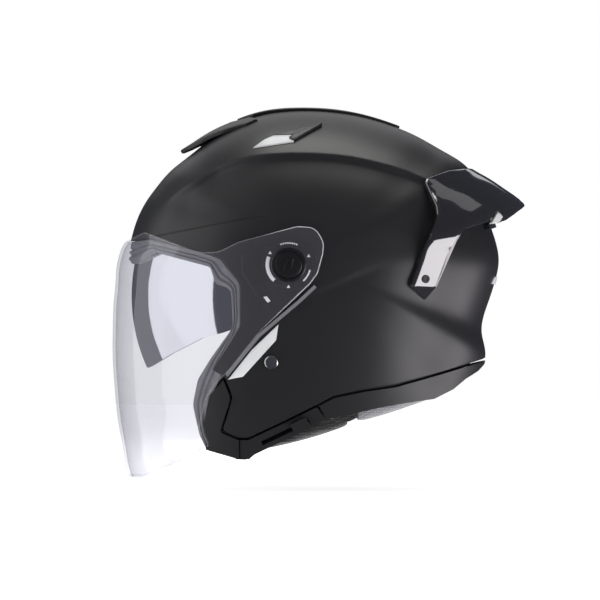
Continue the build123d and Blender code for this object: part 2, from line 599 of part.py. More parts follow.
# ---- chin strap ------------------------------------------------------------------------------
def make_strap():
    point, normal = surface_spot(shell_body(0), *RIVET_SPOT)
    dome = rod(point + normal * 0.05, normal, RIVET_RADIUS, 1.8)
    dome = dome.fillet(1.2, dome.edges().sort_by(Axis((0, 0, 0), normal))[-1:])
    shank = rod(point - normal * 10.4, normal, 3, 10.6)
    tail = rod(point - normal * 10.4, normal, 4.6, 1.2)
    washer = tube(point - normal * (SHELL_WALL + 1.5), normal, 7, 3, 1.1)
    rivet = dome + shank + tail
    add("strap_rivets", rivet, mirrored(rivet))
    add("rivet_washers", washer, mirrored(washer))
    anchor_hole = rod(point - normal * 14, normal, RIVET_BORE_RADIUS, 16)
    add("strap_left", strap_solid(strap_path()) - anchor_hole)
    add("strap_right", mirrored(strap_solid(strap_path() + [(22, -129)]) - anchor_hole))
    y0 = STRAP_Y
    body = Solid.make_box(*BUCKLE_SIZE, Plane((-10, y0 - BUCKLE_SIZE[1] / 2, -133.6)))
    channel = Solid.make_box(60, STRAP_WIDTH - 4, 3.4, Plane((-20, y0 - STRAP_WIDTH / 2 + 2, -131.2)))
    well = Solid.make_box(37, 16, 8, Plane((-14, y0 - 8, -127.9)))
    entry = strap_solid([(20, -129.2), (34, -128.4), (46, -127.6)], 0.02)
    add("buckle_body", (body - channel - well) - entry)
    tongue = Solid.make_box(50, STRAP_WIDTH - 4.8, 2.2,
                            Plane((-36, y0 - STRAP_WIDTH / 2 + 2.4, -130.6)))
    for tooth in range(7):
        notch = Solid.make_box(1.4, 12, 0.8, Plane((-8 + 3 * tooth, y0 - 6, -129.2)))
        tongue = tongue - notch
    clear = mirrored(strap_solid([(20, -129.0), (22, -129.0), (34, -128.4), (46, -127.6)], 0.02))
    add("buckle_tongue", tongue - clear)
    hinge = rod((19, y0 - 10.5, -126.6), (0, 1, 0), BUCKLE_PIN_RADIUS, 21)
    lever = Solid.make_box(24, 14.8, 2.6, Plane((-3, y0 - 7.4, -127.4)))
    lever = lever + Solid.make_box(7, 14.8, 3.6, Plane((-13, y0 - 7.4, -124.3)))
    lever = lever + Solid.make_box(5, 14.8, 3.0, Plane((-7, y0 - 7.4, -125.6)))
    lever_bore = rod((19, y0 - 12, -126.6), (0, 1, 0), BUCKLE_PIN_RADIUS + 0.05, 24)
    pin_bore = rod((19, y0 - 10.6, -126.6), (0, 1, 0), BUCKLE_PIN_RADIUS, 21.2)
    add("buckle_lever", lever - lever_bore)
    nodes["buckle_body"] = bodies(nodes["buckle_body"][0] - pin_bore)
    add("buckle_pin", hinge)


# ---- assembly ----------------------------------------------------------------------------------
for make in (make_shell, make_liners, make_cheeks, make_seals, make_trims, make_slider, make_visor,
             make_pivots, make_sun_visor, make_vents, make_spoiler, make_decals, make_strap):
    make()
    print(make.__name__, len(nodes))

os.makedirs("parts", exist_ok=True)
for name, solids in nodes.items():
    shape = solids[0] if len(solids) == 1 else Compound(children=solids)
    export_step(shape, f"parts/{name}.step")
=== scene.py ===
import json
import math

import bmesh
import bpy
import numpy as np
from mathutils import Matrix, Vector


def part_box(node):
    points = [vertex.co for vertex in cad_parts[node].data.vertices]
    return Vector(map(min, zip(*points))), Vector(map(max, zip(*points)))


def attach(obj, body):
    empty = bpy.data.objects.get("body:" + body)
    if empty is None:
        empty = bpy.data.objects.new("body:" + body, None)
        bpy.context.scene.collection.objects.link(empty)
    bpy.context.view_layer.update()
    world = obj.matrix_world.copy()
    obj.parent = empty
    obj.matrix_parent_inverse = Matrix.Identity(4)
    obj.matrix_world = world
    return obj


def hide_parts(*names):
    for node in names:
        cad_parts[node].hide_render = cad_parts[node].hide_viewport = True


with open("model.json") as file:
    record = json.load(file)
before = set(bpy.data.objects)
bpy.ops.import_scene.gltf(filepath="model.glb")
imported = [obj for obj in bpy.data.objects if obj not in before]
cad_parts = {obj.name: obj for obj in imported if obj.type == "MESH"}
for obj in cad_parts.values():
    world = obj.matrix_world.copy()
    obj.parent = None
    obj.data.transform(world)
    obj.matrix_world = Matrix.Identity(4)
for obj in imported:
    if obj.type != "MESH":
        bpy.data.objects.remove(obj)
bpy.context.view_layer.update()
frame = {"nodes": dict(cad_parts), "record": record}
NODES = frame["nodes"]
MM = 0.001

# ---- camera: level view of the wearer's left side ----
CAMERA_DISTANCE = 5.0
VIEW_WIDTH = 0.456
VIEW_CENTRE = (-0.0091, -0.0289)
FLOOR_Z = -0.172
FLOOR_SIDE = 8.0


def stand(name, data):
    """New object in the scene."""
    made = bpy.data.objects.new(name, data)
    bpy.context.scene.collection.objects.link(made)
    return made


def make_camera():
    data = bpy.data.cameras.new("camera")
    data.sensor_width = 36.0
    data.lens = data.sensor_width * CAMERA_DISTANCE / VIEW_WIDTH
    data.clip_end = 50
    camera = stand("camera", data)
    camera.location = (CAMERA_DISTANCE, *VIEW_CENTRE)
    camera.rotation_euler = (math.pi / 2, 0, math.pi / 2)
    bpy.context.scene.camera = camera


# ---- materials ----
class Paint:
    """A node material with a principled shader and short helpers for its textures."""

    def __init__(self, name, color, roughness, **inputs):
        self.mat = bpy.data.materials.new(name)
        self.mat.use_nodes = True
        self.tree = self.mat.node_tree
        self.shader = self.tree.nodes["Principled BSDF"]
        self.output = self.tree.nodes["Material Output"]
        self.shader.inputs["Base Color"].default_value = (*color, 1)
        self.shader.inputs["Roughness"].default_value = roughness
        for key, value in inputs.items():
            self.shader.inputs[key.replace("_", " ")].default_value = value
        self.place = self.node("ShaderNodeTexCoord").outputs["Object"]

    def node(self, kind, values=None, **settings):
        """New node with its settings, and with values on its sockets."""
        made = self.tree.nodes.new(kind)
        for key, value in settings.items():
            setattr(made, key, value)
        for key, value in (values or {}).items():
            made.inputs[key].default_value = value
        return made

    def link(self, a, b):
        self.tree.links.new(a, b)

    def texture(self, kind, output, values, **settings):
        """Output of a texture that is fixed to the piece."""
        made = self.node(kind, values, **settings)
        self.link(self.place, made.inputs["Vector"])
        return made.outputs[output]

    def noise(self, scale, detail=3.0):
        return self.texture("ShaderNodeTexNoise", "Fac", {"Scale": scale, "Detail": detail})

    def cells(self, scale):
        return self.texture("ShaderNodeTexVoronoi", "Distance", {"Scale": scale}, feature="F1")

    def wave(self, scale, direction, distortion):
        return self.texture("ShaderNodeTexWave", "Fac", {"Scale": scale, "Distortion": distortion},
                            bands_direction=direction, wave_profile="SIN")

    def math(self, operation, a, b=0.0):
        made = self.node("ShaderNodeMath", operation=operation)
        for socket, value in zip(made.inputs, (a, b)):
            if isinstance(value, (int, float)):
                socket.default_value = value
            else:
                self.link(value, socket)
        return made.outputs[0]

    def spread(self, value, low, high):
        """Maps a 0 to 1 value to low to high."""
        made = self.node("ShaderNodeMapRange", {"To Min": low, "To Max": high})
        self.link(value, made.inputs["Value"])
        return made.outputs[0]

    def ramp(self, value, first, last, start=0.0):
        """Colour from first to last as a value goes from start to 1."""
        made = self.node("ShaderNodeValToRGB")
        made.color_ramp.elements[0].color = (*first, 1)
        made.color_ramp.elements[1].color = (*last, 1)
        made.color_ramp.elements[0].position = start
        self.link(value, made.inputs["Fac"])
        return made.outputs["Color"]

    def mix(self, share, first, last):
        """First shader where the share is 0, last one where it is 1."""
        mixer = self.node("ShaderNodeMixShader")
        for socket, source in zip(mixer.inputs, (share, first, last)):
            self.link(source, socket)
        return mixer.outputs[0]

    def tint(self, value, dark, light):
        self.link(self.ramp(value, dark, light), self.shader.inputs["Base Color"])

    def bump(self, height, distance, strength=1.0):
        made = self.node("ShaderNodeBump", {"Distance": distance, "Strength": strength})
        self.link(height, made.inputs["Height"])
        self.link(made.outputs["Normal"], self.shader.inputs["Normal"])

    def roughness(self, value, low, high):
        self.link(self.spread(value, low, high), self.shader.inputs["Roughness"])

    def show(self, surface):
        """Puts a surface in the place of the principled shader."""
        self.link(surface, self.output.inputs["Surface"])


def plastic(name, color, roughness, grain=0.00002, scale=1500, vary=0.06, **inputs):
    """Moulded plastic or paint with fine grain and uneven gloss."""
    paint = Paint(name, color, roughness, **inputs)
    paint.roughness(paint.noise(38), roughness - vary, roughness + vary)
    darker, lighter = (tuple(c * share for c in color) for share in (0.86, 1.18))
    paint.tint(paint.noise(14, 4), darker, lighter)
    paint.bump(paint.noise(scale, 2), grain)
    return paint.mat


def metal(name, color, roughness):
    """Brushed metal with uneven gloss."""
    paint = Paint(name, color, roughness, Metallic=1.0)
    paint.roughness(paint.noise(500), roughness - 0.06, roughness + 0.1)
    paint.tint(paint.noise(120), tuple(c * 0.85 for c in color), color)
    paint.bump(paint.wave(900, "X", 2.0), 0.000015)
    return paint.mat


def fabric(name, dark, light, pitch):
    """Woven or knitted cloth: crossed yarn waves under soft fuzz. The colour is partly painted shade,
    darker in the low places between yarns, and partly random fuzz tone.
    """
    paint = Paint(name, light, 0.9, Sheen_Weight=0.35, Sheen_Roughness=0.5)
    across, along, deep = (paint.wave(1 / pitch / 3, axis, 0.6) for axis in "XZY")
    weave = paint.math("MULTIPLY", paint.math("ADD", across, deep), along)
    fluff = paint.noise(2400, 2)
    height = paint.math("ADD", weave, paint.math("MULTIPLY", fluff, 0.4))
    # Painted shade: the tint follows the weave's height, so the low places between yarns come out
    # darker; the fuzz adds random tone.
    paint.tint(paint.math("MULTIPLY", height, 0.6), dark, light)
    paint.bump(height, pitch * 0.3, 0.8)
    return paint.mat


def bead_foam():
    """Moulded foam that shows its beads."""
    paint = Paint("bead_foam", (0.03, 0.03, 0.032), 0.75)
    beads = paint.cells(260)
    paint.tint(beads, (0.045, 0.045, 0.048), (0.015, 0.015, 0.016))
    paint.bump(beads, 0.0004, 0.6)
    return paint.mat


def clear_visor():
    """Clear polycarbonate: a grey tint that deepens edge on, weak reflections, and a faint emitted
    glow. The glow is painted light that stands for haze and light reflected in the sheet.
    """
    paint = Paint("clear_polycarbonate", (0.02, 0.02, 0.022), 0.035, Specular_IOR_Level=0.6)
    facing = paint.node("ShaderNodeLayerWeight", {"Blend": 0.3}).outputs["Facing"]
    clear = paint.node("ShaderNodeBsdfTransparent")
    paint.link(paint.ramp(facing, (0.93, 0.93, 0.945), (0.79, 0.79, 0.81), 0.3), clear.inputs["Color"])
    fresnel = paint.node("ShaderNodeFresnel", {"IOR": 1.5}).outputs[0]
    gloss = paint.node("ShaderNodeBsdfGlossy", {"Roughness": 0.03, "Color": (0.9, 0.9, 0.92, 1)})
    sheet = paint.mix(paint.spread(fresnel, 0.0, 0.13), clear.outputs[0], gloss.outputs[0])
    # Painted glow: a weak emission that brightens the whole sheet the way haze and reflections would.
    painted_glow = paint.node("ShaderNodeEmission", {"Color": (0.9, 0.88, 1.0, 1), "Strength": 0.016})
    both = paint.node("ShaderNodeAddShader")
    paint.link(sheet, both.inputs[0])
    paint.link(painted_glow.outputs[0], both.inputs[1])
    paint.show(both.outputs[0])
    return paint.mat


def mirror_visor():
    """Mirror coating of the sun visor."""
    paint = Paint("mirror_coating", (0.86, 0.87, 0.89), 0.05, Metallic=1.0)
    paint.roughness(paint.noise(60), 0.03, 0.07)
    return paint.mat


MATERIALS = {
    "shell_paint": plastic("shell_paint", (0.0125, 0.0125, 0.0138), 0.4, 0.000006, 1900, 0.03),
    "eps_foam": bead_foam(),
    "liner_fabric": fabric("liner_knit", (0.012, 0.012, 0.013), (0.04, 0.04, 0.043), 0.0011),
    "cheek_fabric": fabric("cheek_knit", (0.003, 0.003, 0.0035), (0.009, 0.009, 0.01), 0.0012),
    "neck_fabric": fabric("neck_weave", (0.12, 0.12, 0.13), (0.3, 0.3, 0.32), 0.0013),
    "seal_rubber": plastic("seal_rubber", (0.15, 0.148, 0.16), 0.42, 0.000005, 900),
    "trim_plastic": plastic("trim_plastic", (0.012, 0.012, 0.013), 0.4, 0.00003, 1400),
    "gloss_plastic": plastic("gloss_plastic", (0.016, 0.016, 0.0185), 0.12, 0.000003, 900, 0.04,
                             Coat_Weight=1.0, Coat_IOR=1.9),
    "vent_silver": plastic("vent_silver", (0.55, 0.56, 0.57), 0.22, 0.000004, 900),
    "clear_visor": clear_visor(),
    "sun_visor_mirror": mirror_visor(),
    "pivot_plastic": plastic("pivot_plastic", (0.012, 0.012, 0.013), 0.35),
    "knob_plastic": plastic("knob_plastic", (0.008, 0.008, 0.009), 0.3),
    "decal_silver": plastic("decal_silver", (0.58, 0.59, 0.6), 0.3, 0.000003, 900),
    "rivet_steel": metal("rivet_steel", (0.85, 0.84, 0.82), 0.25),
    "screw_steel": metal("screw_steel", (0.3, 0.3, 0.31), 0.35),
    "cable_black": plastic("cable_black", (0.015, 0.015, 0.015), 0.5),
    "webbing": fabric("webbing", (0.008, 0.008, 0.008), (0.03, 0.03, 0.03), 0.0016),
    "buckle_plastic": plastic("buckle_plastic", (0.015, 0.015, 0.015), 0.45),
    "buckle_red": plastic("buckle_red", (0.42, 0.012, 0.01), 0.3),
}


def painted_edge_highlight():
    """Cut edge of the clear sheet, painted pale as the highlight of light gathered in the edge, and
    more opaque towards the rear.
    """
    paint = Paint("polycarbonate_edge_painted_highlight", (0.62, 0.63, 0.66), 0.12)
    axes = paint.node("ShaderNodeSeparateXYZ")
    paint.link(paint.place, axes.inputs[0])
    # The painted edge highlight covers more of the edge towards the rear, as y grows.
    back = paint.math("ADD", paint.math("MULTIPLY", axes.outputs["Y"], 14.0), 0.62)
    share = paint.math("MINIMUM", paint.math("MAXIMUM", back, 0.1), 0.5)
    clear = paint.node("ShaderNodeBsdfTransparent")
    paint.show(paint.mix(share, clear.outputs[0], paint.shader.outputs[0]))
    return paint.mat


PAINTED_EDGE_HIGHLIGHT = painted_edge_highlight()
PRINT_WHITE = plastic("print_white", (0.78, 0.79, 0.8), 0.5)


def dress_cad_nodes():
    """Gives every CAD node the finish of its material slot."""
    for subpart in frame["record"]["subparts"]:
        node = NODES[subpart["node"]]
        node.data.materials.clear()
        node.data.materials.append(MATERIALS[subpart["material_slot"]])


# ---- studio ----
def soft_light(name, place, target, size, power, color=(1, 1, 1)):
    """Rectangular lamp at a place, aimed at a target, in metres and watts."""
    data = bpy.data.lights.new(name, "AREA")
    data.shape = "RECTANGLE"
    data.size, data.size_y = size
    data.energy = power
    data.color = color
    light = stand(name, data)
    light.location = place
    aim = Vector(target) - Vector(place)
    light.rotation_euler = aim.to_track_quat("-Z", "Y").to_euler()


def background(tree, color):
    shade = tree.nodes.new("ShaderNodeBackground")
    shade.inputs["Color"].default_value = (*color, 1)
    return shade


def make_world():
    """White to the camera, grey to diffuse rays and slate in reflections."""
    world = bpy.data.worlds.new("studio")
    bpy.context.scene.world = world
    world.use_nodes = True
    tree = world.node_tree
    shown = tree.nodes["Background"]
    shown.inputs["Color"].default_value = (1, 1, 1, 1)
    rays = tree.nodes.new("ShaderNodeLightPath")
    for ray, color in (("Is Diffuse Ray", (0.3, 0.3, 0.31)), ("Is Glossy Ray", (0.032, 0.035, 0.047))):
        mixer = tree.nodes.new("ShaderNodeMixShader")
        tree.links.new(rays.outputs[ray], mixer.inputs["Fac"])
        tree.links.new(shown.outputs[0], mixer.inputs[1])
        tree.links.new(background(tree, color).outputs[0], mixer.inputs[2])
        shown = mixer
    tree.links.new(shown.outputs[0], tree.nodes["World Output"].inputs["Surface"])


def make_floor():
    """Pale paper that lets the lamps below it through and stays out of reflections."""
    mesh = bpy.data.meshes.new("floor")
    side = FLOOR_SIDE / 2
    corners = [(x * side, y * side, FLOOR_Z) for x, y in ((-1, -1), (1, -1), (1, 1), (-1, 1))]
    mesh.from_pydata(corners, [], [(0, 1, 2, 3)])
    floor = stand("floor", mesh)
    paper = plastic("floor_paper", (0.86, 0.86, 0.86), 0.8, Emission_Color=(1, 1, 1, 1),
                    Emission_Strength=0.8)
    floor.data.materials.append(paper)
    floor.visible_glossy = False
    floor.visible_shadow = False


def make_studio():
    make_world()
    soft_light("top_box", (0.02, 0.1, 1.5), (0, 0, 0), (0.9, 1.4), 16, (1, 0.99, 0.96))
    soft_light("front_box", (0.36, -1.5, 0), (0.36, 0, 0), (2.2, 3.0), 22, (0.99, 0.99, 1))
    soft_light("far_box", (-1.0, -0.1, 1.15), (0, 0, 0), (1.4, 1.8), 5)
    soft_light("rear_card", (0.86, 1.28, -0.5), (0.09, 0.09, 0), (0.95, 0.8), 12, (1, 0.97, 1))
    soft_light("rear_box", (-0.15, 1.5, -0.6), (0.03, 0.09, 0), (1.1, 0.8), 9, (1, 0.95, 1))
    soft_light("rear_top", (-0.05, 0.97, 1.28), (0.06, 0.09, 0.06), (0.3, 0.25), 0.12)
    make_floor()
    bpy.context.scene.view_settings.view_transform = "Standard"


# ---- curved bodies: the same shapes as the CAD, in millimetres ----
SHELL_WIDTH, SHELL_POWER = 119.0, 2.3
SHELL_WALL = 3.2
VISOR_WIDTH, VISOR_POWER = 124.2, 2.2
SPOILER_REACH = 5.0
VISOR_PIVOT = (-17.5, -2.7)
SPOILER_SCREW_SPOT = (84.4, -13.3)

# Side profiles as (degrees up from the rear, reach from the head centre).
SHELL_PROFILE = [
    (0, 141.8), (10, 138.8), (20, 137.2), (25, 138), (30, 138.6), (35, 135.2), (40, 130.2),
    (50, 124), (60, 119.4), (70, 116.6), (80, 115.2), (90, 115), (100, 116.3), (110, 118.2),
    (120, 119.4), (130, 120.6), (140, 123), (148, 128), (154, 130.8), (160, 134), (166, 136.5),
    (173.5, 138.5), (182, 141), (192, 146), (202, 154), (212, 165), (222, 180), (232, 197),
    (242, 209), (256, 217), (270, 214), (285, 204), (300, 189), (314, 170), (325, 155),
    (332.5, 148.5), (337.5, 139.5), (342, 136.8), (348, 137.6), (354, 139.8),
]
VISOR_PROFILE = [
    (20, 150), (45, 148), (70, 146), (95, 144), (120, 142), (145, 142), (160, 142.4),
    (168, 142.8), (173.5, 142.2), (175.6, 144.8), (178, 146.6), (181, 148.3), (186, 150),
    (191, 153.3), (197.3, 158.4), (206.2, 168.6), (213, 178.5), (218, 187.9), (221.5, 194.9),
    (225, 202.8), (227.6, 210), (231, 217), (236, 221), (245, 226), (260, 229), (280, 225),
    (310, 200), (335, 170), (355, 155),
]
SPOILER_PROFILE = [
    (50, 124), (43, 130.5), (35, 136.5), (30.2, 140.7), (25.5, 148.2), (20.4, 157.2),
    (15, 167.4), (10, 170), (4, 157), (357, 148), (350, 145.5), (340, 143), (320, 158),
    (290, 196), (256, 214), (222, 184), (192, 150), (160, 136), (120, 122), (80, 118),
]


SPLINE_STEPS = 12
NORMAL_STEP = 0.6
CAST_REACH = 300.0
CAST_HALVINGS = 34


def spline_loop(points):
    """Points on a smooth closed curve through the given plane points."""
    points = np.array(points, float)
    count = len(points)
    ahead = np.roll(points, -1, axis=0)
    gap = np.linalg.norm(ahead - points, axis=1)
    matrix = np.zeros((count, count))
    slope = np.zeros((count, 2))
    for i in range(count):
        before, after = gap[i - 1], gap[i]
        matrix[i, i - 1] += before
        matrix[i, i] += 2 * (before + after)
        matrix[i, (i + 1) % count] += after
        slope[i] = 6 * ((ahead[i] - points[i]) / after - (points[i] - points[i - 1]) / before)
    bend = np.linalg.solve(matrix, slope)
    made = []
    for i in range(count):
        j = (i + 1) % count
        for t in np.linspace(0, 1, SPLINE_STEPS, endpoint=False):
            s = 1 - t
            curve = ((s ** 3 - s) * bend[i] + (t ** 3 - t) * bend[j]) * gap[i] ** 2 / 6
            made.append(s * points[i] + t * points[j] + curve)
    return np.array(made)


class Skin:
    """Closed body whose side profile shrinks to each side as a superellipse."""

    def __init__(self, profile, half_width, power):
        turns = np.radians([p[0] for p in profile])
        reach = np.array([p[1] for p in profile], float)
        order = np.argsort(turns)
        plane = np.c_[reach * np.cos(turns), reach * np.sin(turns)][order]
        curve = spline_loop(plane)
        angle = np.arctan2(curve[:, 1], curve[:, 0]) % math.tau
        order = np.argsort(angle)
        self.angles = angle[order]
        self.reaches = np.hypot(*curve.T)[order]
        self.half_width = half_width
        self.power = power

    def field(self, points):
        """Under 1 inside the body, 1 on its surface."""
        angle = np.arctan2(points[:, 2], points[:, 1]) % math.tau
        reach = np.interp(angle, self.angles, self.reaches, period=math.tau)
        radius = np.hypot(points[:, 1], points[:, 2])
        return (np.abs(points[:, 0]) / self.half_width) ** self.power + (radius / reach) ** self.power

    def cast(self, origins, directions):
        """Where rays from inside the body leave it."""
        low = np.zeros(len(origins))
        high = np.full(len(origins), CAST_REACH)
        for _ in range(CAST_HALVINGS):
            middle = (low + high) / 2
            inside = self.field(origins + directions * middle[:, None]) < 1
            low = np.where(inside, middle, low)
            high = np.where(inside, high, middle)
        return origins + directions * low[:, None]

    def normal(self, points):
        """Outward directions at points on the surface."""
        slope = np.zeros_like(points)
        for axis in range(3):
            shift = np.zeros(3)
            shift[axis] = NORMAL_STEP
            slope[:, axis] = self.field(points + shift) - self.field(points - shift)
        return slope / np.maximum(np.linalg.norm(slope, axis=1), 1e-9)[:, None]

    def x_at(self, y, z):
        """Half width at a place in side view."""
        origin = np.array([[0.0, y, z]])
        return float(self.cast(origin, np.array([[1.0, 0, 0]]))[0, 0])


SHELL = Skin(SHELL_PROFILE, SHELL_WIDTH, SHELL_POWER)
VISOR = Skin(VISOR_PROFILE, VISOR_WIDTH, VISOR_POWER)
WING = Skin(SPOILER_PROFILE, SHELL_WIDTH + SPOILER_REACH, SHELL_POWER)
# Radius that turns an angle about the head centre into a flat coordinate.
BARREL = 130.0


def chart(skin, ray):
    """A skin, and a function that carries flat coordinates (u, v) onto it along rays."""
    def carry(u, v):
        start, way = ray(u, v, np.zeros_like(u))
        return skin.cast(np.c_[start], np.c_[way])
    return skin, carry


def side_chart(skin):
    """u and v are y and z, seen from the wearer's left."""
    return chart(skin, lambda u, v, zero: ((zero, u, v), (zero + 1, zero, zero)))


def barrel_chart(skin):
    """u runs round the front from the centre line, v is z."""
    return chart(skin, lambda u, v, zero: (
        (zero, zero, v), (np.sin(u / BARREL), -np.cos(u / BARREL), zero)))


def arch_chart(skin):
    """u runs up and over from the rear, v is x."""
    return chart(skin, lambda u, v, zero: (
        (v, zero, zero), (zero, np.cos(u / BARREL), np.sin(u / BARREL))))


def plan_chart(skin):
    """u and v are x and y, seen from above."""
    return chart(skin, lambda u, v, zero: ((u, v, zero), (zero, zero, zero + 1)))


def rounded(points, step=1.5):
    """Closed outline with arcs at the corners that carry a third number, a radius."""
    made = []
    count = len(points)
    for i, point in enumerate(points):
        here = np.array(point[:2], float)
        if len(point) < 3:
            made.append(here)
            continue
        before = np.array(points[i - 1][:2], float) - here
        after = np.array(points[(i + 1) % count][:2], float) - here
        room = 0.48 * min(np.linalg.norm(before), np.linalg.norm(after))
        before /= np.linalg.norm(before)
        after /= np.linalg.norm(after)
        half = math.acos(max(-1, min(1, float(before @ after)))) / 2
        cut = min(point[2] / math.tan(half), room)
        steps = max(3, int(cut / step) + 3)
        for t in np.linspace(0, 1, steps):
            made.append(here + before * cut * (1 - t) ** 2 + after * cut * t ** 2)
    return made


def dense(points, step, closed=True):
    """The same line with points no further apart than step."""
    made = []
    pairs = list(zip(points, points[1:] + points[:1])) if closed else list(zip(points, points[1:]))
    for a, b in pairs:
        a, b = np.array(a[:2], float), np.array(b[:2], float)
        pieces = max(1, int(math.ceil(np.linalg.norm(b - a) / step)))
        made += [a + (b - a) * k / pieces for k in range(pieces)]
    if not closed:
        made.append(np.array(points[-1][:2], float))
    return made


def across(skin, half, kind):
    """Outline over the centre line from its left half in side view, for a barrel or arch chart."""
    left = []
    for y, z in dense(rounded(half), 3.0, closed=False):
        x = skin.x_at(y, z)
        if kind == "barrel":
            off_centre, along = BARREL * math.atan2(x, -y), z
        else:
            off_centre, along = x, BARREL * math.atan2(z, y)
        if off_centre < 0.5:
            off_centre = 0.0
            if len(left) > 1 and left[-1][0] == 0:
                continue
        left.append((off_centre, along))
    loop = left + [(-off_centre, along) for off_centre, along in reversed(left) if off_centre > 0]
    return loop if kind == "barrel" else [(along, off_centre) for off_centre, along in loop]


def inset(loop, distance):
    """Closed line moved inwards."""
    loop = np.array(loop)
    back = loop - np.roll(loop, 1, axis=0)
    ahead = np.roll(loop, -1, axis=0) - loop
    sides = []
    for edge in (back, ahead):
        edge = edge / np.maximum(np.linalg.norm(edge, axis=1), 1e-9)[:, None]
        sides.append(np.c_[-edge[:, 1], edge[:, 0]])
    middle = sides[0] + sides[1]
    scale = 1 + np.sum(sides[0] * sides[1], axis=1)
    return loop + middle / np.maximum(scale, 0.5)[:, None] * distance


def area(loop):
    """Signed area of a closed line, over 0 where it runs anticlockwise."""
    loop = np.array(loop)
    ahead = np.roll(loop, -1, axis=0)
    return float(np.sum(loop[:, 0] * ahead[:, 1] - loop[:, 1] * ahead[:, 0])) / 2


def lay(chart, verts, height):
    """Flat points and heights carried onto the chart's skin, in millimetres."""
    skin, carry = chart
    base = carry(verts[:, 0], verts[:, 1])
    return base + skin.normal(base) * height[:, None]


def close_rows(bm, rows):
    """Faces between rings of vertices, and a cap at each end."""
    for a, b in zip(rows, rows[1:]):
        for i in range(len(a)):
            j = (i + 1) % len(a)
            bm.faces.new((a[i], a[j], b[j], b[i]))
    bm.faces.new(rows[0])
    bm.faces.new(rows[-1])


def lathe(bm, centre, axis, side, up, section, count):
    """Turned solid about an axis from (radius, rise) pairs; side and up are square to the axis."""
    rows = []
    for radius, rise in section:
        row = []
        for k in range(count):
            turn = math.tau * k / count
            around = side * math.cos(turn) + up * math.sin(turn)
            row.append(bm.verts.new((centre + axis * rise + around * radius) * MM))
        rows.append(row)
    close_rows(bm, rows)


def finish_mesh(name, bm, sharp=35):
    """Smooth piece from a bmesh, with edges kept sharp over an angle in degrees."""
    mesh = bpy.data.meshes.new(name)
    bmesh.ops.remove_doubles(bm, verts=bm.verts, dist=1e-7)
    bmesh.ops.recalc_face_normals(bm, faces=bm.faces)
    for face in bm.faces:
        face.smooth = True
    bm.to_mesh(mesh)
    bm.free()
    mesh.set_sharp_from_angle(angle=math.radians(sharp))
    return stand(name, mesh)


def panel(name, chart, outline, low, high, edge=0.7, grid=4.0, lift=None, rim_slot=False, sharp=35):
    """Plate with rounded edges that follows a skin.

    It fills the heights low to high over the skin; lift(u, v) adds to both.
    """
    loop = [tuple(p) for p in dense(outline, grid)]
    if area(loop) < 0:
        loop.reverse()
    bm = bmesh.new()
    rings = []
    half = 1 - math.sqrt(0.5)
    levels = [(edge, high), (edge * half, high - edge * half), (0, high - edge)]
    levels += [(0, low + edge * 0.5), (edge * 0.5, low)]
    for distance, level in levels:
        rings.append([bm.verts.new((u, v, level)) for u, v in inset(loop, distance)])
    count = len(loop)
    bm.faces.new(rings[0])
    bm.faces.new(list(reversed(rings[-1])))
    for upper, lower in zip(rings, rings[1:]):
        for i in range(count):
            j = (i + 1) % count
            face = bm.faces.new((upper[i], lower[i], lower[j], upper[j]))
            face.material_index = 1 if rim_slot else 0
    flat = np.array(loop)
    for axis in (0, 1):
        first = math.floor(flat[:, axis].min() / grid) + 1
        last = math.ceil(flat[:, axis].max() / grid)
        for line in range(first, last):
            place, facing = [0, 0, 0], [0, 0, 0]
            place[axis], facing[axis] = line * grid + 0.013, 1
            geometry = bm.verts[:] + bm.edges[:] + bm.faces[:]
            bmesh.ops.bisect_plane(bm, geom=geometry, plane_co=place, plane_no=facing)
    points = np.array([v.co for v in bm.verts])
    height = points[:, 2].copy()
    if lift:
        height += lift(points[:, 0], points[:, 1])
    for vert, place in zip(bm.verts, lay(chart, points, height) * MM):
        vert.co = place
    return finish_mesh(name, bm, sharp)


def ribbon(name, chart, line_a, line_b, heights, low, steps=160, sharp=50):
    """Strip between two open lines; heights holds (share of the way, height), low is its back."""
    ends = []
    for line in (line_a, line_b):
        line = np.array(line, float)
        run = np.r_[0, np.cumsum(np.linalg.norm(np.diff(line, axis=0), axis=1))]
        share = np.linspace(0, run[-1], steps)
        ends.append(np.c_[np.interp(share, run, line[:, 0]), np.interp(share, run, line[:, 1])])
    section = heights + [(t, low) for t in np.linspace(1, 0, 4)]
    bm = bmesh.new()
    loops = []
    for t, h in section:
        flat = ends[0] * (1 - t) + ends[1] * t
        places = lay(chart, flat, np.full(len(flat), float(h))) * MM
        loops.append([bm.verts.new(p) for p in places])
    count = len(section)
    for i in range(count):
        a, b = loops[i], loops[(i + 1) % count]
        for k in range(steps - 1):
            bm.faces.new((a[k], a[k + 1], b[k + 1], b[k]))
    bm.faces.new([loop[0] for loop in loops])
    bm.faces.new([loop[-1] for loop in reversed(loops)])
    return finish_mesh(name, bm, sharp)


def mirror_copy(made, name):
    """The same piece on the wearer's right."""
    mesh = made.data.copy()
    mesh.name = name
    for vert in mesh.vertices:
        vert.co.x = -vert.co.x
    mesh.flip_normals()
    return stand(name, mesh)


def settle(made, body, slot, *nodes):
    """Gives a piece its finish if it has none, puts it on its body and hides the CAD nodes that it
    stands for.
    """
    if not made.data.materials:
        made.data.materials.append(MATERIALS[slot])
    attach(made, body)
    if nodes:
        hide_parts(*nodes)
    return made


def settle_pair(made, body, slot, node=None):
    """Settles a left piece and its mirror image, for a pair of CAD nodes if any."""
    twin = mirror_copy(made, made.name.replace("left", "right"))
    for piece, side in ((made, "_left"), (twin, "_right")):
        nodes = [node + side] if node else []
        settle(piece, body, slot, *nodes)


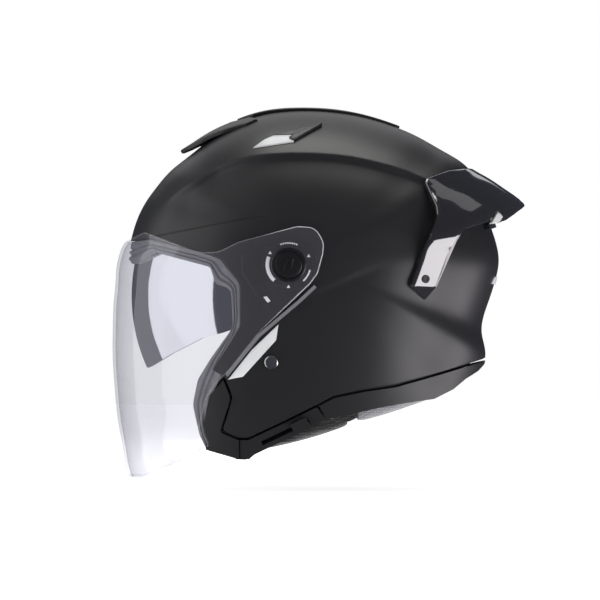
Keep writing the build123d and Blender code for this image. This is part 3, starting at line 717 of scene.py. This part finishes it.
# ---- side outlines, as in the CAD ----
SEAL_LINE = [(-165, 15), (-138, 15.2), (-123.5, 16.8), (-84, 6.9), (-69, 2, 9), (-53.8, -17, 11),
             (-53.8, -50, 9), (-70.3, -74), (-80.6, -90, 14), (-84.2, -107.5, 16),
             (-79.5, -128.7), (-76, -137)]
PORT_LINE = [(-165, -1), (-136, -0.8), (-121.6, 7.6), (-84.4, -2.3), (-73.7, -6.1, 7),
             (-61.5, -22, 10), (-60, -49.4, 9), (-76.8, -72.2), (-87.4, -88.9, 14),
             (-91.2, -107.9, 16), (-85.9, -130.7), (-81.5, -139.5)]
GROOVE_LINE = [(-64.9, -86.6), (-59.3, -102.2, 8), (-67.3, -126.9, 3), (-55.7, -131.9, 4),
               (-47.9, -131.9, 6), (-19.8, -118.6), (4.6, -106.4), (16, -100.3, 10), (38, -95.8),
               (62.3, -92.3), (91.2, -84.4), (129.2, -73.7), (190, -60)]
FRAME_LINE = PORT_LINE[:4] + [(-77.5, -4.5), (-73.5, -17, 5), (-61.5, -20.5, 7)] + PORT_LINE[6:]
SEAL_ROOT = SEAL_LINE[:6] + [(-53.8, -50, 9), (-64, -70), (-68.5, -86, 8), (-76, -104, 8),
                             (-78, -124), (-74, -137)]
SHELL_OUTLINE = SEAL_LINE[:7] + [(-69, -72.6), (-74.6, -81)] + GROOVE_LINE + [(190, 150), (-165, 150)]
VISOR_OUTLINE = [(-170, 15.2), (-141, 15.9), (-126.9, 22, 3), (-84, 6.6, 30), (-69.5, 7.4, 20),
                 (-55, 14.4, 30), (-11.4, 26, 14), (2.5, 25.2, 13), (8.8, 13.7, 12), (8, 5, 10),
                 (4.2, -9.1, 10), (-1.5, -17, 9), (-38.8, -52.4), (-63.8, -83.6, 10), (-71.4, -90.5),
                 (-79.5, -103, 6), (-84.5, -125, 5), (-83, -128), (-82.6, -143, 4), (-98.8, -152.8),
                 (-117, -159.6), (-131, -165), (-145, -162.3), (-170, -160)]
LIP_TOP = [(-82.6, -142), (-98.8, -151.6), (-117, -158.4), (-131, -163.8), (-142.5, -161.3)]
LIP_BOTTOM = [(-82.6, -145), (-98.8, -154.6), (-117, -161.4), (-131, -166.6), (-142.5, -164.3)]


def smooth_step(value, low, high):
    """0 up to low, 1 from high, and a soft ramp between."""
    share = np.clip((value - low) / (high - low), 0, 1)
    return share * share * (3 - 2 * share)


# Creases in side view, as their y values and their z values.
CROWN_CREASE = ((-112, -104, -99.5, -89.8, -80, -70.8, -62, -54.3, -42.6, -30,
                 -15, 0, 15, 28.9, 43, 57.8, 70, 83.6, 96, 104),
                (43, 48.5, 51, 57, 63.5, 69.3, 73, 75.4, 77.8, 79.1,
                 79.8, 79.6, 78.8, 77.2, 74.4, 70.6, 66.8, 61.4, 56, 52))
SIDE_CREASE = ((-26, -15.2, 11, 35, 62), (-34, -29.6, -19, -8.4, 2))


def shell_relief(y, z):
    """Moulded relief of the outer shell: crown plateau and side crease, in millimetres."""
    over = z - np.interp(y, *CROWN_CREASE)
    below = np.maximum(-over, 0)
    fade = smooth_step(y, -112, -92) * (1 - smooth_step(y, 96, 116))
    crest = 1.5 * np.exp(-np.maximum(over, 0) / 22) * smooth_step(over, -4, 0.3)
    recess = -3.4 * (1 - np.exp(-below / 6)) * np.exp(-below / 50) * smooth_step(z, 14, 42)
    plateau = (crest + recess) * fade
    under = np.interp(y, *SIDE_CREASE) - z
    reach = smooth_step(y, -24, -8) * (1 - smooth_step(y, 30, 62))
    hollow = -0.9 * smooth_step(under, -2, 4) * np.exp(-np.maximum(under, 0) / 24) * reach
    return plateau + hollow


# Middle of the shell's polar grid in side view.
SHELL_HUB = np.array([20.0, 45.0])
RAY_STEP = 0.75
OUTER_RINGS, INNER_RINGS = 84, 14
# The rounded rim, as (distance in from the outline, drop below the surface).
SHELL_RIM = [(0.9, 0.0), (0.38, 0.12), (0.1, 0.42), (0.0, 0.85)]


def reach_along(outline, flat):
    """How far each ray from the hub runs before it meets the outline."""
    found = np.full(len(flat), np.inf)
    for a, b in zip(outline, np.roll(outline, -1, axis=0)):
        side = b - a
        from_hub = a - SHELL_HUB
        cross = flat[:, 0] * side[1] - flat[:, 1] * side[0]
        cross = np.where(np.abs(cross) < 1e-9, 1e-9, cross)
        along = (from_hub[0] * side[1] - from_hub[1] * side[0]) / cross
        share = (from_hub[0] * flat[:, 1] - from_hub[1] * flat[:, 0]) / cross
        hit = (share >= -1e-6) & (share <= 1 + 1e-6) & (along > 0)
        found = np.where(hit, np.minimum(found, along), found)
    return found


def make_shell():
    """Outer shell from a polar grid about a hub that sees its whole side outline."""
    turns = np.radians(np.arange(0, 360, RAY_STEP))
    flat = np.c_[np.cos(turns), np.sin(turns)]
    zero = np.zeros(len(turns))
    hub = np.c_[zero, zero + SHELL_HUB[0], zero + SHELL_HUB[1]]
    edge = SHELL.cast(hub, np.c_[zero, flat])
    full = np.hypot(edge[:, 1] - SHELL_HUB[0], edge[:, 2] - SHELL_HUB[1])
    cut = reach_along(np.array(rounded(SHELL_OUTLINE)), flat)
    open_edge = cut < full - 0.2
    limit = np.where(open_edge, cut, full)
    bm = bmesh.new()

    def ring_at(radius, height, relief):
        y = SHELL_HUB[0] + flat[:, 0] * radius
        z = SHELL_HUB[1] + flat[:, 1] * radius
        base = SHELL.cast(np.c_[zero, y, z], np.c_[zero + 1, zero, zero])
        closed = ~open_edge & (radius >= full - 1e-6)
        base[closed, 0] = 0
        facing = SHELL.normal(base)
        facing[closed, 0] = 0
        raised = height + relief * shell_relief(y, z)
        return base + facing * raised[:, None]

    rows = []
    last = np.arcsin(np.clip((limit - SHELL_RIM[0][0]) / full, 0, 1))
    for k in range(1, OUTER_RINGS + 1):
        rows.append(ring_at(full * np.sin(last * k / OUTER_RINGS), zero, 1))
    for n, (back, drop) in enumerate(SHELL_RIM[1:], 1):
        free = full * np.sin(last + (math.pi / 2 - last) * n / (len(SHELL_RIM) - 1))
        radius = np.where(open_edge, limit - back, free)
        rows.append(ring_at(radius, np.where(open_edge, -drop, 0), 1))
    inner = []
    widest = np.where(open_edge, np.arcsin(np.clip(limit / full, 0, 1)), math.pi / 2)
    for k in range(INNER_RINGS, 0, -1):
        inner.append(ring_at(full * np.sin(widest * k / INNER_RINGS), zero - SHELL_WALL, 0))
    count = len(turns)

    def weave(levels, sign):
        made = []
        for row in levels:
            places = row * MM
            places[:, 0] *= sign
            made.append([bm.verts.new(p) for p in places])
        for upper, lower in zip(made, made[1:]):
            for i in range(count):
                j = (i + 1) % count
                bm.faces.new((upper[i], lower[i], lower[j], upper[j]))
        return made

    for sign in (1, -1):
        outer = weave(rows, sign)
        under = weave(inner, sign)
        for i in range(count):
            j = (i + 1) % count
            if open_edge[i] and open_edge[j]:
                bm.faces.new((outer[-1][i], under[0][i], under[0][j], outer[-1][j]))
        bm.faces.new(outer[0])
        bm.faces.new(list(reversed(under[-1])))
    shell = finish_mesh("outer_shell_skin", bm, 40)
    settle(shell, "helmet", "shell_paint", "outer_shell")


def make_visor():
    """Clear sheet, and the thicker lip along its lower edge."""
    outline = across(VISOR, VISOR_OUTLINE, "barrel")
    sheet = panel("visor_sheet", barrel_chart(VISOR), outline, -2.2, 0, 0.8, 5, rim_slot=True)
    sheet.data.materials.append(MATERIALS["clear_visor"])
    # The rim faces take the painted edge highlight.
    sheet.data.materials.append(PAINTED_EDGE_HIGHLIGHT)
    settle(sheet, "visor", "clear_visor", "visor")
    lines = []
    for side in (LIP_TOP, LIP_BOTTOM):
        left = [(BARREL * math.atan2(VISOR.x_at(y, z), -y), z) for y, z in dense(side, 2, closed=False)]
        lines.append(left + [(-u, z) for u, z in reversed(left)])
    section = [(0, 0.0), (0.15, 0.9), (0.4, 1.5), (0.7, 1.6), (0.92, 1.2), (1, 0.4)]
    lip = ribbon("visor_lip", barrel_chart(VISOR), lines[0], lines[1], section, -2.0)
    # The whole lip takes the painted edge highlight in place of the clear finish.
    lip.data.materials.append(PAINTED_EDGE_HIGHLIGHT)
    settle(lip, "visor", "clear_visor")


def make_gasket():
    """Ribbed rubber seal round the eye port, one strip from cheek to cheek."""
    lines = []
    for line in (SEAL_ROOT, FRAME_LINE):
        left = []
        for y, z in dense(rounded(line), 2, closed=False):
            x = SHELL.x_at(y, z)
            if x > 0.5:
                left.append((BARREL * math.atan2(x, -y), z))
        left[0] = (0.0, left[0][1])
        lines.append([(-u, v) for u, v in reversed(left)] + left[1:])
    section = [(0, -1.6), (0.02, -0.8), (0.08, -0.7), (0.3, -0.8), (0.34, -1.9), (0.4, -2.0),
               (0.44, -0.9), (0.5, -0.6), (0.56, -0.9), (0.6, -2.4), (0.66, -2.5), (0.7, -1.3),
               (0.78, -1.0), (0.86, -1.3), (0.9, -2.6), (0.97, -3.2), (1, -4.2)]
    seal = ribbon("eyeport_seal", barrel_chart(SHELL), lines[0], lines[1], section, -6.6, 260, 60)
    settle(seal, "helmet", "seal_rubber", "eyeport_gasket")


RING_STEP = 6
# Raised rings of the pivot plate: inner and outer radius, start and end angle, low, high.
PIVOT_RINGS = (
    (13.8, 19.2, 0, 359, 0.8, 1.35),
    (19.6, 20.1, -75, 70, 0.9, 1.5),
    (13.6, 14.2, 0, 359, 1.2, 1.7),
    (17.6, 18.0, -60, 40, 1.3, 1.6),
)


def ring_part(inner, outer, start, end):
    """Outline of a piece of a ring about the visor's pivot; angles from +y towards +z."""
    turns = np.radians(np.linspace(start, end, max(4, int(abs(end - start) / RING_STEP))))
    y0, z0 = VISOR_PIVOT
    out = [(y0 + outer * math.cos(t), z0 + outer * math.sin(t)) for t in turns]
    return out + [(y0 + inner * math.cos(t), z0 + inner * math.sin(t)) for t in reversed(turns)]


def pivot_marks():
    """Plain printed marks: two arcs, a row of ticks, three triangles and a lock sign."""
    marks = [ring_part(14.3, 17.0, 158, 228), ring_part(15.6, 16.8, -48, -14)]
    marks += [ring_part(15.4, 16.6, start, start + 4) for start in range(66, 114, 6)]
    for turn in (147, 24, 270):
        tip = math.radians(turn)
        y0 = VISOR_PIVOT[0] + 16.2 * math.cos(tip)
        z0 = VISOR_PIVOT[1] + 16.2 * math.sin(tip)
        marks.append([(y0 - 1.3, z0 - 1.0), (y0 + 1.3, z0 - 1.0), (y0, z0 + 1.4)])
    y0, z0 = VISOR_PIVOT[0] - 16.5, VISOR_PIVOT[1] - 25.5
    marks.append([(y0 - 2, z0 + 1.6), (y0 + 0.4, z0 + 2.2), (y0 + 3.2, z0 - 1.6), (y0 + 1, z0 - 2.6)])
    return marks


def make_pivots():
    """Plate under each knob with its raised rings and marks, and the knobs."""
    chart = side_chart(SHELL)
    base = [(-52.4, 5.3, 4), (-52.4, -8.4, 5), (-36.5, -33.4, 6), (-28.9, -41.5, 5), (-12, -26),
            (1, -13, 6), (3.6, 6, 6), (-3, 14, 5), (-14, 15)]
    plate = panel("pivot_plate_left", chart, rounded(base), 0.02, 0.9, 0.4, 3)
    settle_pair(plate, "helmet", "pivot_plastic", "pivot_base")
    for n, (inner, outer, start, end, low, high) in enumerate(PIVOT_RINGS):
        outline = ring_part(inner, outer, start, end)
        ring = panel(f"pivot_ring_{n}_left", chart, outline, low, high, 0.2, 6)
        settle_pair(ring, "helmet", "pivot_plastic")
    for n, outline in enumerate(pivot_marks()):
        mark = panel(f"pivot_mark_{n}_left", chart, outline, 1.0, 1.75, 0.08, 6)
        mark.data.materials.append(PRINT_WHITE)
        settle_pair(mark, "helmet", "pivot_plastic")
    make_knobs()


# Knob cover from its rim to its middle, as (radius, rise).
KNOB_SECTION = [(13.0, 0.0), (13.0, 2.0), (12.8, 2.5), (12.2, 2.9), (11.2, 3.0), (10.7, 2.8),
                (10.5, 2.2), (10.1, 2.2), (9.9, 2.9), (9.4, 3.2), (7.5, 3.35), (4.0, 3.4), (1.0, 3.42)]
KNOB_SIDES = 96


def make_knobs():
    """Round screw covers with a dished ring and two slanted grip bars."""
    for side, sign in (("left", 1), ("right", -1)):
        low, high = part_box("visor_knob_" + side)
        seat = (low.x if sign > 0 else -high.x) / MM
        bm = bmesh.new()
        centre = Vector((sign * seat, *VISOR_PIVOT))
        axes = (Vector((sign, 0, 0)), Vector((0, 1, 0)), Vector((0, 0, 1)))
        lathe(bm, centre, *axes, KNOB_SECTION, KNOB_SIDES)
        for shift in (-2.4, 1.4):
            grip_bar(bm, sign, seat + 3.2, VISOR_PIVOT[0] + shift)
        knob = finish_mesh("knob_cover_" + side, bm, 32)
        settle(knob, "knob_" + side, "knob_plastic", "visor_knob_" + side)


def grip_bar(bm, sign, seat, y0):
    """Slanted bar with a chamfered top."""
    base = [(-1.6, -4.2), (0.4, -4.2), (2.4, 4.2), (0.4, 4.2)]
    rows = []
    for scale, rise in ((1.0, 0.0), (1.0, 0.45), (0.78, 0.7)):
        row = []
        for y, z in base:
            place = Vector((sign * (seat + rise), y0 + 0.4 + (y - 0.4) * scale,
                            VISOR_PIVOT[1] + z * (scale * 0.1 + 0.9)))
            row.append(bm.verts.new(place * MM))
        rows.append(row)
    close_rows(bm, rows)


# Edge between the spoiler's top and side, as its y values and its z values.
WING_CREASE = ((60, 84, 109.4, 142.5, 170), (66, 61.6, 53.2, 39.9, 29))


def wing_relief(u, v):
    """Relief of the spoiler: an edge between its top and its side, and legs that taper at the end."""
    turn = u / BARREL
    share = np.clip(np.abs(v) / WING.half_width, 0, 0.999)
    reach = np.interp(turn % math.tau, WING.angles, WING.reaches, period=math.tau)
    radius = reach * (1 - share ** WING.power) ** (1 / WING.power)
    y, z = radius * np.cos(turn), radius * np.sin(turn)
    over = z - np.interp(y, *WING_CREASE)
    fade = smooth_step(y, 78, 112)
    below = np.maximum(-over, 0)
    side = -2.0 * (1 - np.exp(-below / 10)) * np.exp(-below / 40)
    brow = 0.6 * np.exp(-np.maximum(over, 0) / 9)
    facets = (side + brow) * fade * smooth_step(z, 20, 36) * smooth_step(np.abs(v), 30, 60)
    return facets - 0.42 * np.maximum(-19 - z, 0) * (np.abs(v) > 60)


# Screw head from its rim into its socket, as (radius, rise).
SCREW_SECTION = [(3.1, -0.6), (3.1, 0.7), (2.8, 1.0), (1.7, 1.05), (1.5, 0.85), (1.4, 0.5), (0.3, 0.48)]
SCREW_SIDES = 36


def make_screw_heads():
    """Socket screws that hold the ends of the spoiler."""
    spot = WING.cast(np.array([[0.0, *SPOILER_SCREW_SPOT]]), np.array([[1.0, 0, 0]]))
    facing = Vector(WING.normal(spot)[0])
    centre = Vector(spot[0])
    side = facing.cross(Vector((0, 0, 1))).normalized()
    up = side.cross(facing)
    for name, sign in (("left", 1), ("right", -1)):
        bm = bmesh.new()
        place = [Vector((sign * v.x, v.y, v.z)) for v in (centre, facing, side, up)]
        lathe(bm, *place, SCREW_SECTION, SCREW_SIDES)
        head = finish_mesh("spoiler_screw_head_" + name, bm, 40)
        settle(head, "helmet", "cable_black")


def arch_strip(corners):
    """Outline for an arch chart from (degrees up from the rear, x)."""
    return [(BARREL * math.radians(turn), x) for turn, x in corners]


def make_spoiler():
    """Spoiler with its end pieces and screws, and the pieces on the shell below it."""
    half = [(124, 70.5), (121.0, 71.4), (101.8, 68.4), (84, 61.6, 3), (92.7, 41.8), (93.5, 35.7, 8),
            (91.6, 28.4), (73.5, -19, 4), (86.6, -30.7, 2), (93.3, -19), (108.4, 15.2, 8),
            (114, 24.3, 9), (131.5, 29.6, 8), (139.8, 38.6, 3), (146.4, 31.4), (163, 43.6)]
    outline = across(WING, half, "arch")
    wing = panel("spoiler_wing", arch_chart(WING), outline, -5.0, 0, 1.1, 3.2, wing_relief, sharp=28)
    settle(wing, "helmet", "gloss_plastic", "spoiler")
    end = [(139.6, 37.4), (146.6, 37.9), (141.2, 29.6), (135.8, 29.4)]
    liner = panel("spoiler_end_left", side_chart(WING), end, -5.5, -1.2, 0.4, 3)
    settle_pair(liner, "helmet", "vent_silver")
    make_screw_heads()
    chart = arch_chart(SHELL)
    bar = arch_strip([(10.4, -44), (11.7, -43), (11.7, 43), (10.4, 44)])
    lip = panel("spoiler_lower_lip", chart, bar, 0.02, 4.0, 0.5, 3)
    settle(lip, "helmet", "gloss_plastic", "rear_vent_trim")
    patch = arch_strip([(-4.6, 18), (-4.6, 30), (-7.0, 35), (-7.0, 18)])
    strip = panel("rear_strip_left", chart, patch, 0.02, 1.4, 0.4, 3)
    settle_pair(strip, "helmet", "vent_silver", "rear_reflector")


def both_ways(points):
    """Outline over the centre line in plan view from its left half."""
    return points + [(-x, y) for x, y in reversed(points) if x != 0]


# Rise of the scoop's roof over the shell, as its y values and its heights.
SCOOP_LIFT = ((-97, -88, -74, -62, -52, -40), (8.4, 7.0, 5.2, 3.6, 2.4, 2.2))
RIDGE_LIFT = ((-56, -44, -10), (1.1, 0.7, 0))


def make_scoop():
    """Front air scoop: a roof over the shell and a rib under it."""
    chart = plan_chart(SHELL)
    roof = both_ways([(0, -95.5), (9, -94.5), (18, -90), (28, -81), (38, -66), (45, -49), (42, -41),
                      (27, -46), (15, -57), (0, -57.6)])
    hood = panel("scoop_hood", chart, roof, -3.4, 0, 1.3, 3, lambda _, y: np.interp(y, *SCOOP_LIFT))
    settle(hood, "helmet", "shell_paint", "front_scoop")
    post = both_ways([(0, -84), (3, -84), (3, -60), (0, -60)])
    rib = panel("scoop_rib", chart, post, 0, 3.6, 0.4, 3)
    settle(rib, "helmet", "gloss_plastic")


def make_crown_ridge():
    """Ridge on the crown with a slot, and the ribbed vent button that slides in it."""
    chart = plan_chart(SHELL)
    ridge = both_ways([(0.2, -55.5), (12, -54), (21, -44), (24, -20), (23, 20), (14, 62), (0, 66)])
    ridge += [(-0.2, -46), (-7.4, -46), (-7.4, -19), (7.4, -19), (7.4, -46), (0.2, -46)]
    made = panel("crown_ridge_panel", chart, ridge, 0.02, 2.2, 0.5, 3,
                 lambda _, y: np.interp(y, *RIDGE_LIFT))
    settle(made, "helmet", "shell_paint", "crown_ridge")
    outline = both_ways([(0, -44.6), (6.8, -44.6), (6.8, -31.2), (0, -31.2)])
    button = panel("vent_button", chart, outline, 0.9, 2.2, 0.5, 2.5)
    settle(button, "top_slider", "trim_plastic", "top_vent_slider")
    for n in range(4):
        y = -43 + 3.2 * n
        outline = both_ways([(0, y), (5.2, y), (5.2, y + 1.1), (0, y + 1.1)])
        rib = panel(f"vent_button_rib_{n}", chart, outline, 1.8, 2.5, 0.3, 4)
        settle(rib, "top_slider", "trim_plastic")


def make_crown_vents():
    """Silver vent plate on each side of the crown, with its dark side and its fin."""
    chart = side_chart(SHELL)
    silver = [(-43.6, 83.6), (-36, 89.4, 9), (-28.6, 92.8, 5), (-15.4, 93.2), (-13.6, 88.2)]
    tray = panel("crown_vent_plate_left", chart, rounded(silver), 0.3, 2.2, 0.5, 3)
    settle_pair(tray, "helmet", "vent_silver", "crown_vent")
    dark = [(-29.0, 93.1), (-8.0, 99.5), (3.0, 102.0), (-14.5, 93.7)]
    hollow = panel("crown_vent_side_left", chart, rounded(dark), 0.3, 2.0, 0.3, 3)
    settle_pair(hollow, "helmet", "trim_plastic")
    fin = [(-17.8, 90.6, 1), (-14.0, 88.6, 1), (7.8, 101.0, 1), (6.2, 102.9, 1), (2.0, 101.8)]
    blade = panel("crown_fin_blade_left", chart, rounded(fin, 0.6), 0.6, 3.6, 0.8, 2.5)
    settle_pair(blade, "helmet", "trim_plastic", "crown_fin")


SEAM_HALF_WIDTH = 2.4


def make_trim_backs():
    """Dark webs behind the joint of the chin and side trims and behind the neck trim's seam."""
    chart = side_chart(SHELL)
    joint = [(-58, -134), (-50, -134), (-50, -149.3), (-58, -149.1)]
    web = panel("trim_web_left", chart, joint, -4.8, -2.4, 0.3, 3)
    settle_pair(web, "helmet", "trim_plastic")
    groove = [(4.6, -107.2), (16, -101.1), (38, -96.6), (62.3, -93.1), (91.2, -85.2), (122, -76.6)]
    seam = [(y, z + SEAM_HALF_WIDTH) for y, z in groove]
    seam += [(y, z - SEAM_HALF_WIDTH) for y, z in reversed(groove)]
    web = panel("groove_web_left", chart, seam, -4.8, -3.3, 0.3, 3)
    settle_pair(web, "helmet", "trim_plastic")


def make_cheek_skirts():
    """Dark cloth that closes the step between the cheek pad and the neck roll."""
    outline = [(14, -108), (34, -108), (36.5, -119.6, 1), (30, -122.6), (22, -124.6), (14, -120)]
    skirt = panel("cheek_skirt_left", side_chart(SHELL), rounded(outline), -16, -9, 1.0, 3)
    settle_pair(skirt, "helmet", "cheek_fabric")


def make_decals():
    """Plain silver stripe below each pivot."""
    outline = [(-25.1, -47), (-26.8, -58.7, 2), (-51.5, -85.9, 2), (-62.5, -88.0), (-45, -66)]
    stripe = panel("side_stripe_left", side_chart(SHELL), rounded(outline), 0.02, 0.4, 0.15, 4)
    settle_pair(stripe, "helmet", "decal_silver", "side_decal")


# ---- padding and straps ----
def near(*distances):
    """Distance to the nearest of several seams."""
    return np.minimum.reduce([np.abs(d) for d in distances])


# Each pad's seams, as the distance to them from a place in millimetres.
def crown_seams(x, y, _):
    return near(np.abs(x) - 26, y + 38, y - 14, y - 62)


def brow_seams(x, _, z):
    return near(z - 17, np.abs(x) - 34)


def nape_seams(x, _, z):
    return near(z + 6, np.abs(x) - 32, z - 14)


def ear_seams(_, y, z):
    return near(np.hypot(y - 2, z + 12) - 19, np.hypot(y - 2, z + 12) - 31)


def cheek_seams(x, y, z):
    return near(np.hypot((y + 14) / 1.15, z + 86) - 30, np.abs(x) - 96, z + 60 - 0.3 * (y + 20))


def neck_seams(x, _, z):
    return near(z + 79, np.abs(x) - 42)


# node, slot, voxel, shrink, most puff, seams (voxel in metres, the rest in millimetres)
PADS = (
    ("crown_liner", "liner_fabric", 0.003, 1.0, 1.9, crown_seams),
    ("brow_pad", "liner_fabric", 0.0026, 0.9, 1.6, brow_seams),
    ("nape_liner", "liner_fabric", 0.003, 1.0, 1.9, nape_seams),
    ("ear_liner_left", "liner_fabric", 0.0026, 0.9, 1.6, ear_seams),
    ("ear_liner_right", "liner_fabric", 0.0026, 0.9, 1.6, ear_seams),
    ("cheek_pad_left", "cheek_fabric", 0.004, 2.2, 2.8, cheek_seams),
    ("cheek_pad_right", "cheek_fabric", 0.004, 2.2, 2.8, cheek_seams),
    ("neck_roll", "neck_fabric", 0.004, 2.2, 2.8, neck_seams),
)
PUFF_FRAMES = 20
SEAM_DEPTH, SEAM_SPREAD = 0.9, 1.3


def vectors(items, key):
    flat = np.zeros(len(items) * 3, np.float32)
    items.foreach_get(key, flat)
    return flat.reshape(-1, 3).astype(float)


def mesh_points(mesh):
    return vectors(mesh.vertices, "co")


def mesh_normals(mesh):
    return vectors(mesh.vertex_normals, "vector")


def write_points(mesh, points):
    mesh.vertices.foreach_set("co", points.astype(np.float32).ravel())
    mesh.update()


def applied(made):
    """Replaces a piece's mesh by what its modifiers make of it."""
    graph = bpy.context.evaluated_depsgraph_get()
    mesh = bpy.data.meshes.new_from_object(made.evaluated_get(graph))
    made.modifiers.clear()
    made.data = mesh
    return mesh


def unstuffed(node, voxel, shrink):
    """Even mesh of a pad's solid, pulled in a little before it is filled."""
    bm = bmesh.new()
    bm.from_mesh(NODES[node].data)
    bmesh.ops.remove_doubles(bm, verts=bm.verts, dist=2e-6)
    mesh = bpy.data.meshes.new(node + "_cover")
    bm.to_mesh(mesh)
    bm.free()
    made = stand(node + "_cover", mesh)
    remesh = made.modifiers.new("even", "REMESH")
    remesh.mode = "VOXEL"
    remesh.voxel_size = voxel
    applied(made)
    soften = made.modifiers.new("soften", "SMOOTH")
    soften.iterations = 4
    mesh = applied(made)
    write_points(mesh, mesh_points(mesh) - mesh_normals(mesh) * shrink * MM)
    return made


def add_stuffing(made, on_seam):
    """Cloth under pressure that is held along its seams."""
    pins = made.vertex_groups.new(name="seams")
    pins.add([int(i) for i in np.nonzero(on_seam)[0]], 1.0, "REPLACE")
    cloth = made.modifiers.new("puff", "CLOTH")
    cloth.settings.use_pressure = True
    cloth.settings.uniform_pressure_force = 4
    cloth.settings.effector_weights.gravity = 0
    cloth.settings.vertex_group_mass = "seams"
    cloth.settings.quality = 4
    cloth.point_cache.frame_end = PUFF_FRAMES


def keep_puff(made, start, most, seams):
    """Applies the cloth up to its most puff, and sinks the seams into the cover."""
    mesh = applied(made)
    moved = mesh_points(mesh) - start
    length = np.linalg.norm(moved, axis=1)
    allowed = np.minimum(length, most * MM) / np.maximum(length, 1e-9)
    write_points(mesh, start + moved * allowed[:, None])
    finer = made.modifiers.new("finer", "SUBSURF")
    finer.levels = finer.render_levels = 1
    mesh = applied(made)
    points = mesh_points(mesh)
    distance = seams(*(points / MM).T)
    groove = SEAM_DEPTH * np.exp(-(distance / SEAM_SPREAD) ** 2) * MM
    write_points(mesh, points - mesh_normals(mesh) * groove[:, None])
    for face in mesh.polygons:
        face.use_smooth = True
    mesh.materials.clear()


def make_pads():
    """Padded covers in place of the plain CAD pads, puffed together in one simulation."""
    scene = bpy.context.scene
    covers = []
    for node, slot, voxel, shrink, most, seams in PADS:
        made = unstuffed(node, voxel, shrink)
        start = mesh_points(made.data)
        add_stuffing(made, seams(*(start / MM).T) < voxel / MM * 0.7)
        covers.append((made, start, node, slot, most, seams))
    for number in range(1, PUFF_FRAMES + 1):
        scene.frame_set(number)
    for made, start, node, slot, most, seams in covers:
        keep_puff(made, start, most, seams)
        settle(made, "helmet", slot, node)
    scene.frame_set(1)


STRAP_Y, STRAP_WIDTH, STRAP_THICK = -31.0, 22.0, 1.6
STRAP_STEPS = 8
STITCH_ROW = 8.6
THREAD_SIDES = 6
# Left half of the chin strap in front view, as (x, z).
STRAP_PATH = [(106, -63), (105.7, -72), (104.6, -84), (100.5, -98), (91, -111), (76, -120),
              (57, -125.4), (34, -128.4)]


def smooth_path(points):
    """Points on a smooth open curve through the given ones."""
    points = np.array(points, float)
    padded = np.vstack([2 * points[0] - points[1], points, 2 * points[-1] - points[-2]])
    made = []
    for i in range(1, len(padded) - 2):
        a, b, c, d = padded[i - 1:i + 3]
        for t in np.linspace(0, 1, STRAP_STEPS, endpoint=False):
            made.append(0.5 * (2 * b + (c - a) * t + (2 * a - 5 * b + 4 * c - d) * t * t
                               + (3 * b - a - 3 * c + d) * t ** 3))
    made.append(points[-1])
    return np.array(made)


def strap_section():
    """Webbing across its width and thickness: soft edges and a slightly thinner middle."""
    half, thick = STRAP_WIDTH / 2, STRAP_THICK / 2
    top = []
    for share in np.linspace(-1, 1, 13):
        body = thick * (0.86 + 0.14 * abs(share) ** 4)
        edge = math.sqrt(max(0, 1 - max(0, abs(share) * half - half + thick) ** 2 / thick ** 2))
        top.append((share * half, body * max(edge, 0.15)))
    return top + [(w, -t) for w, t in reversed(top)]


def make_webbing(name, path, sign, node):
    """One side of the chin strap, woven along its path, and its stitches."""
    line = smooth_path(path)
    tangent = np.gradient(line, axis=0)
    tangent /= np.linalg.norm(tangent, axis=1)[:, None]
    face_on = np.c_[tangent[:, 1], -tangent[:, 0]]
    section = strap_section()
    bm = bmesh.new()
    rows = []
    for (x, z), (nx, nz) in zip(line, face_on):
        rows.append([bm.verts.new((sign * (x + nx * t) * MM, (STRAP_Y + w) * MM, (z + nz * t) * MM))
                     for w, t in section])
    close_rows(bm, rows)
    settle(finish_mesh(name, bm, 60), "helmet", "webbing", node)
    make_stitches(name, line, tangent, face_on, sign)


def make_stitches(name, line, tangent, face_on, sign):
    """A row of stitches near each edge, on both faces of the strap."""
    bm = bmesh.new()
    for width in (-STITCH_ROW, STITCH_ROW):
        for k in range(3, len(line) - 2):
            x, z = (line[k] + line[k + 1]) / 2
            nx, nz = face_on[k]
            for face in (1, -1):
                lift = face * (STRAP_THICK / 2 * 0.88)
                centre = Vector((sign * (x + nx * lift), STRAP_Y + width, z + nz * lift))
                along = Vector((sign * tangent[k][0], 0, tangent[k][1]))
                thread(bm, centre, along, 1.3, 0.28)
    settle(finish_mesh(name + "_stitches", bm, 80), "helmet", "webbing")


def thread(bm, centre, along, half, radius):
    """One stitch: a short round thread with tapered ends."""
    side = along.cross(Vector((0.31, 0.9, 0.3))).normalized()
    up = along.cross(side).normalized()
    section = [(radius * (1 - share ** 4 * 0.75), share * half) for share in (-1, -0.7, 0, 0.7, 1)]
    lathe(bm, centre, along, side, up, section, THREAD_SIDES)


def make_straps():
    make_webbing("chin_strap_left", STRAP_PATH, 1, "strap_left")
    make_webbing("chin_strap_right", STRAP_PATH + [(22, -129)], -1, "strap_right")


make_camera()
make_studio()
dress_cad_nodes()
for make in (make_shell, make_visor, make_gasket, make_pivots, make_spoiler, make_scoop,
             make_crown_ridge, make_crown_vents, make_trim_backs, make_cheek_skirts, make_decals,
             make_pads, make_straps):
    make()
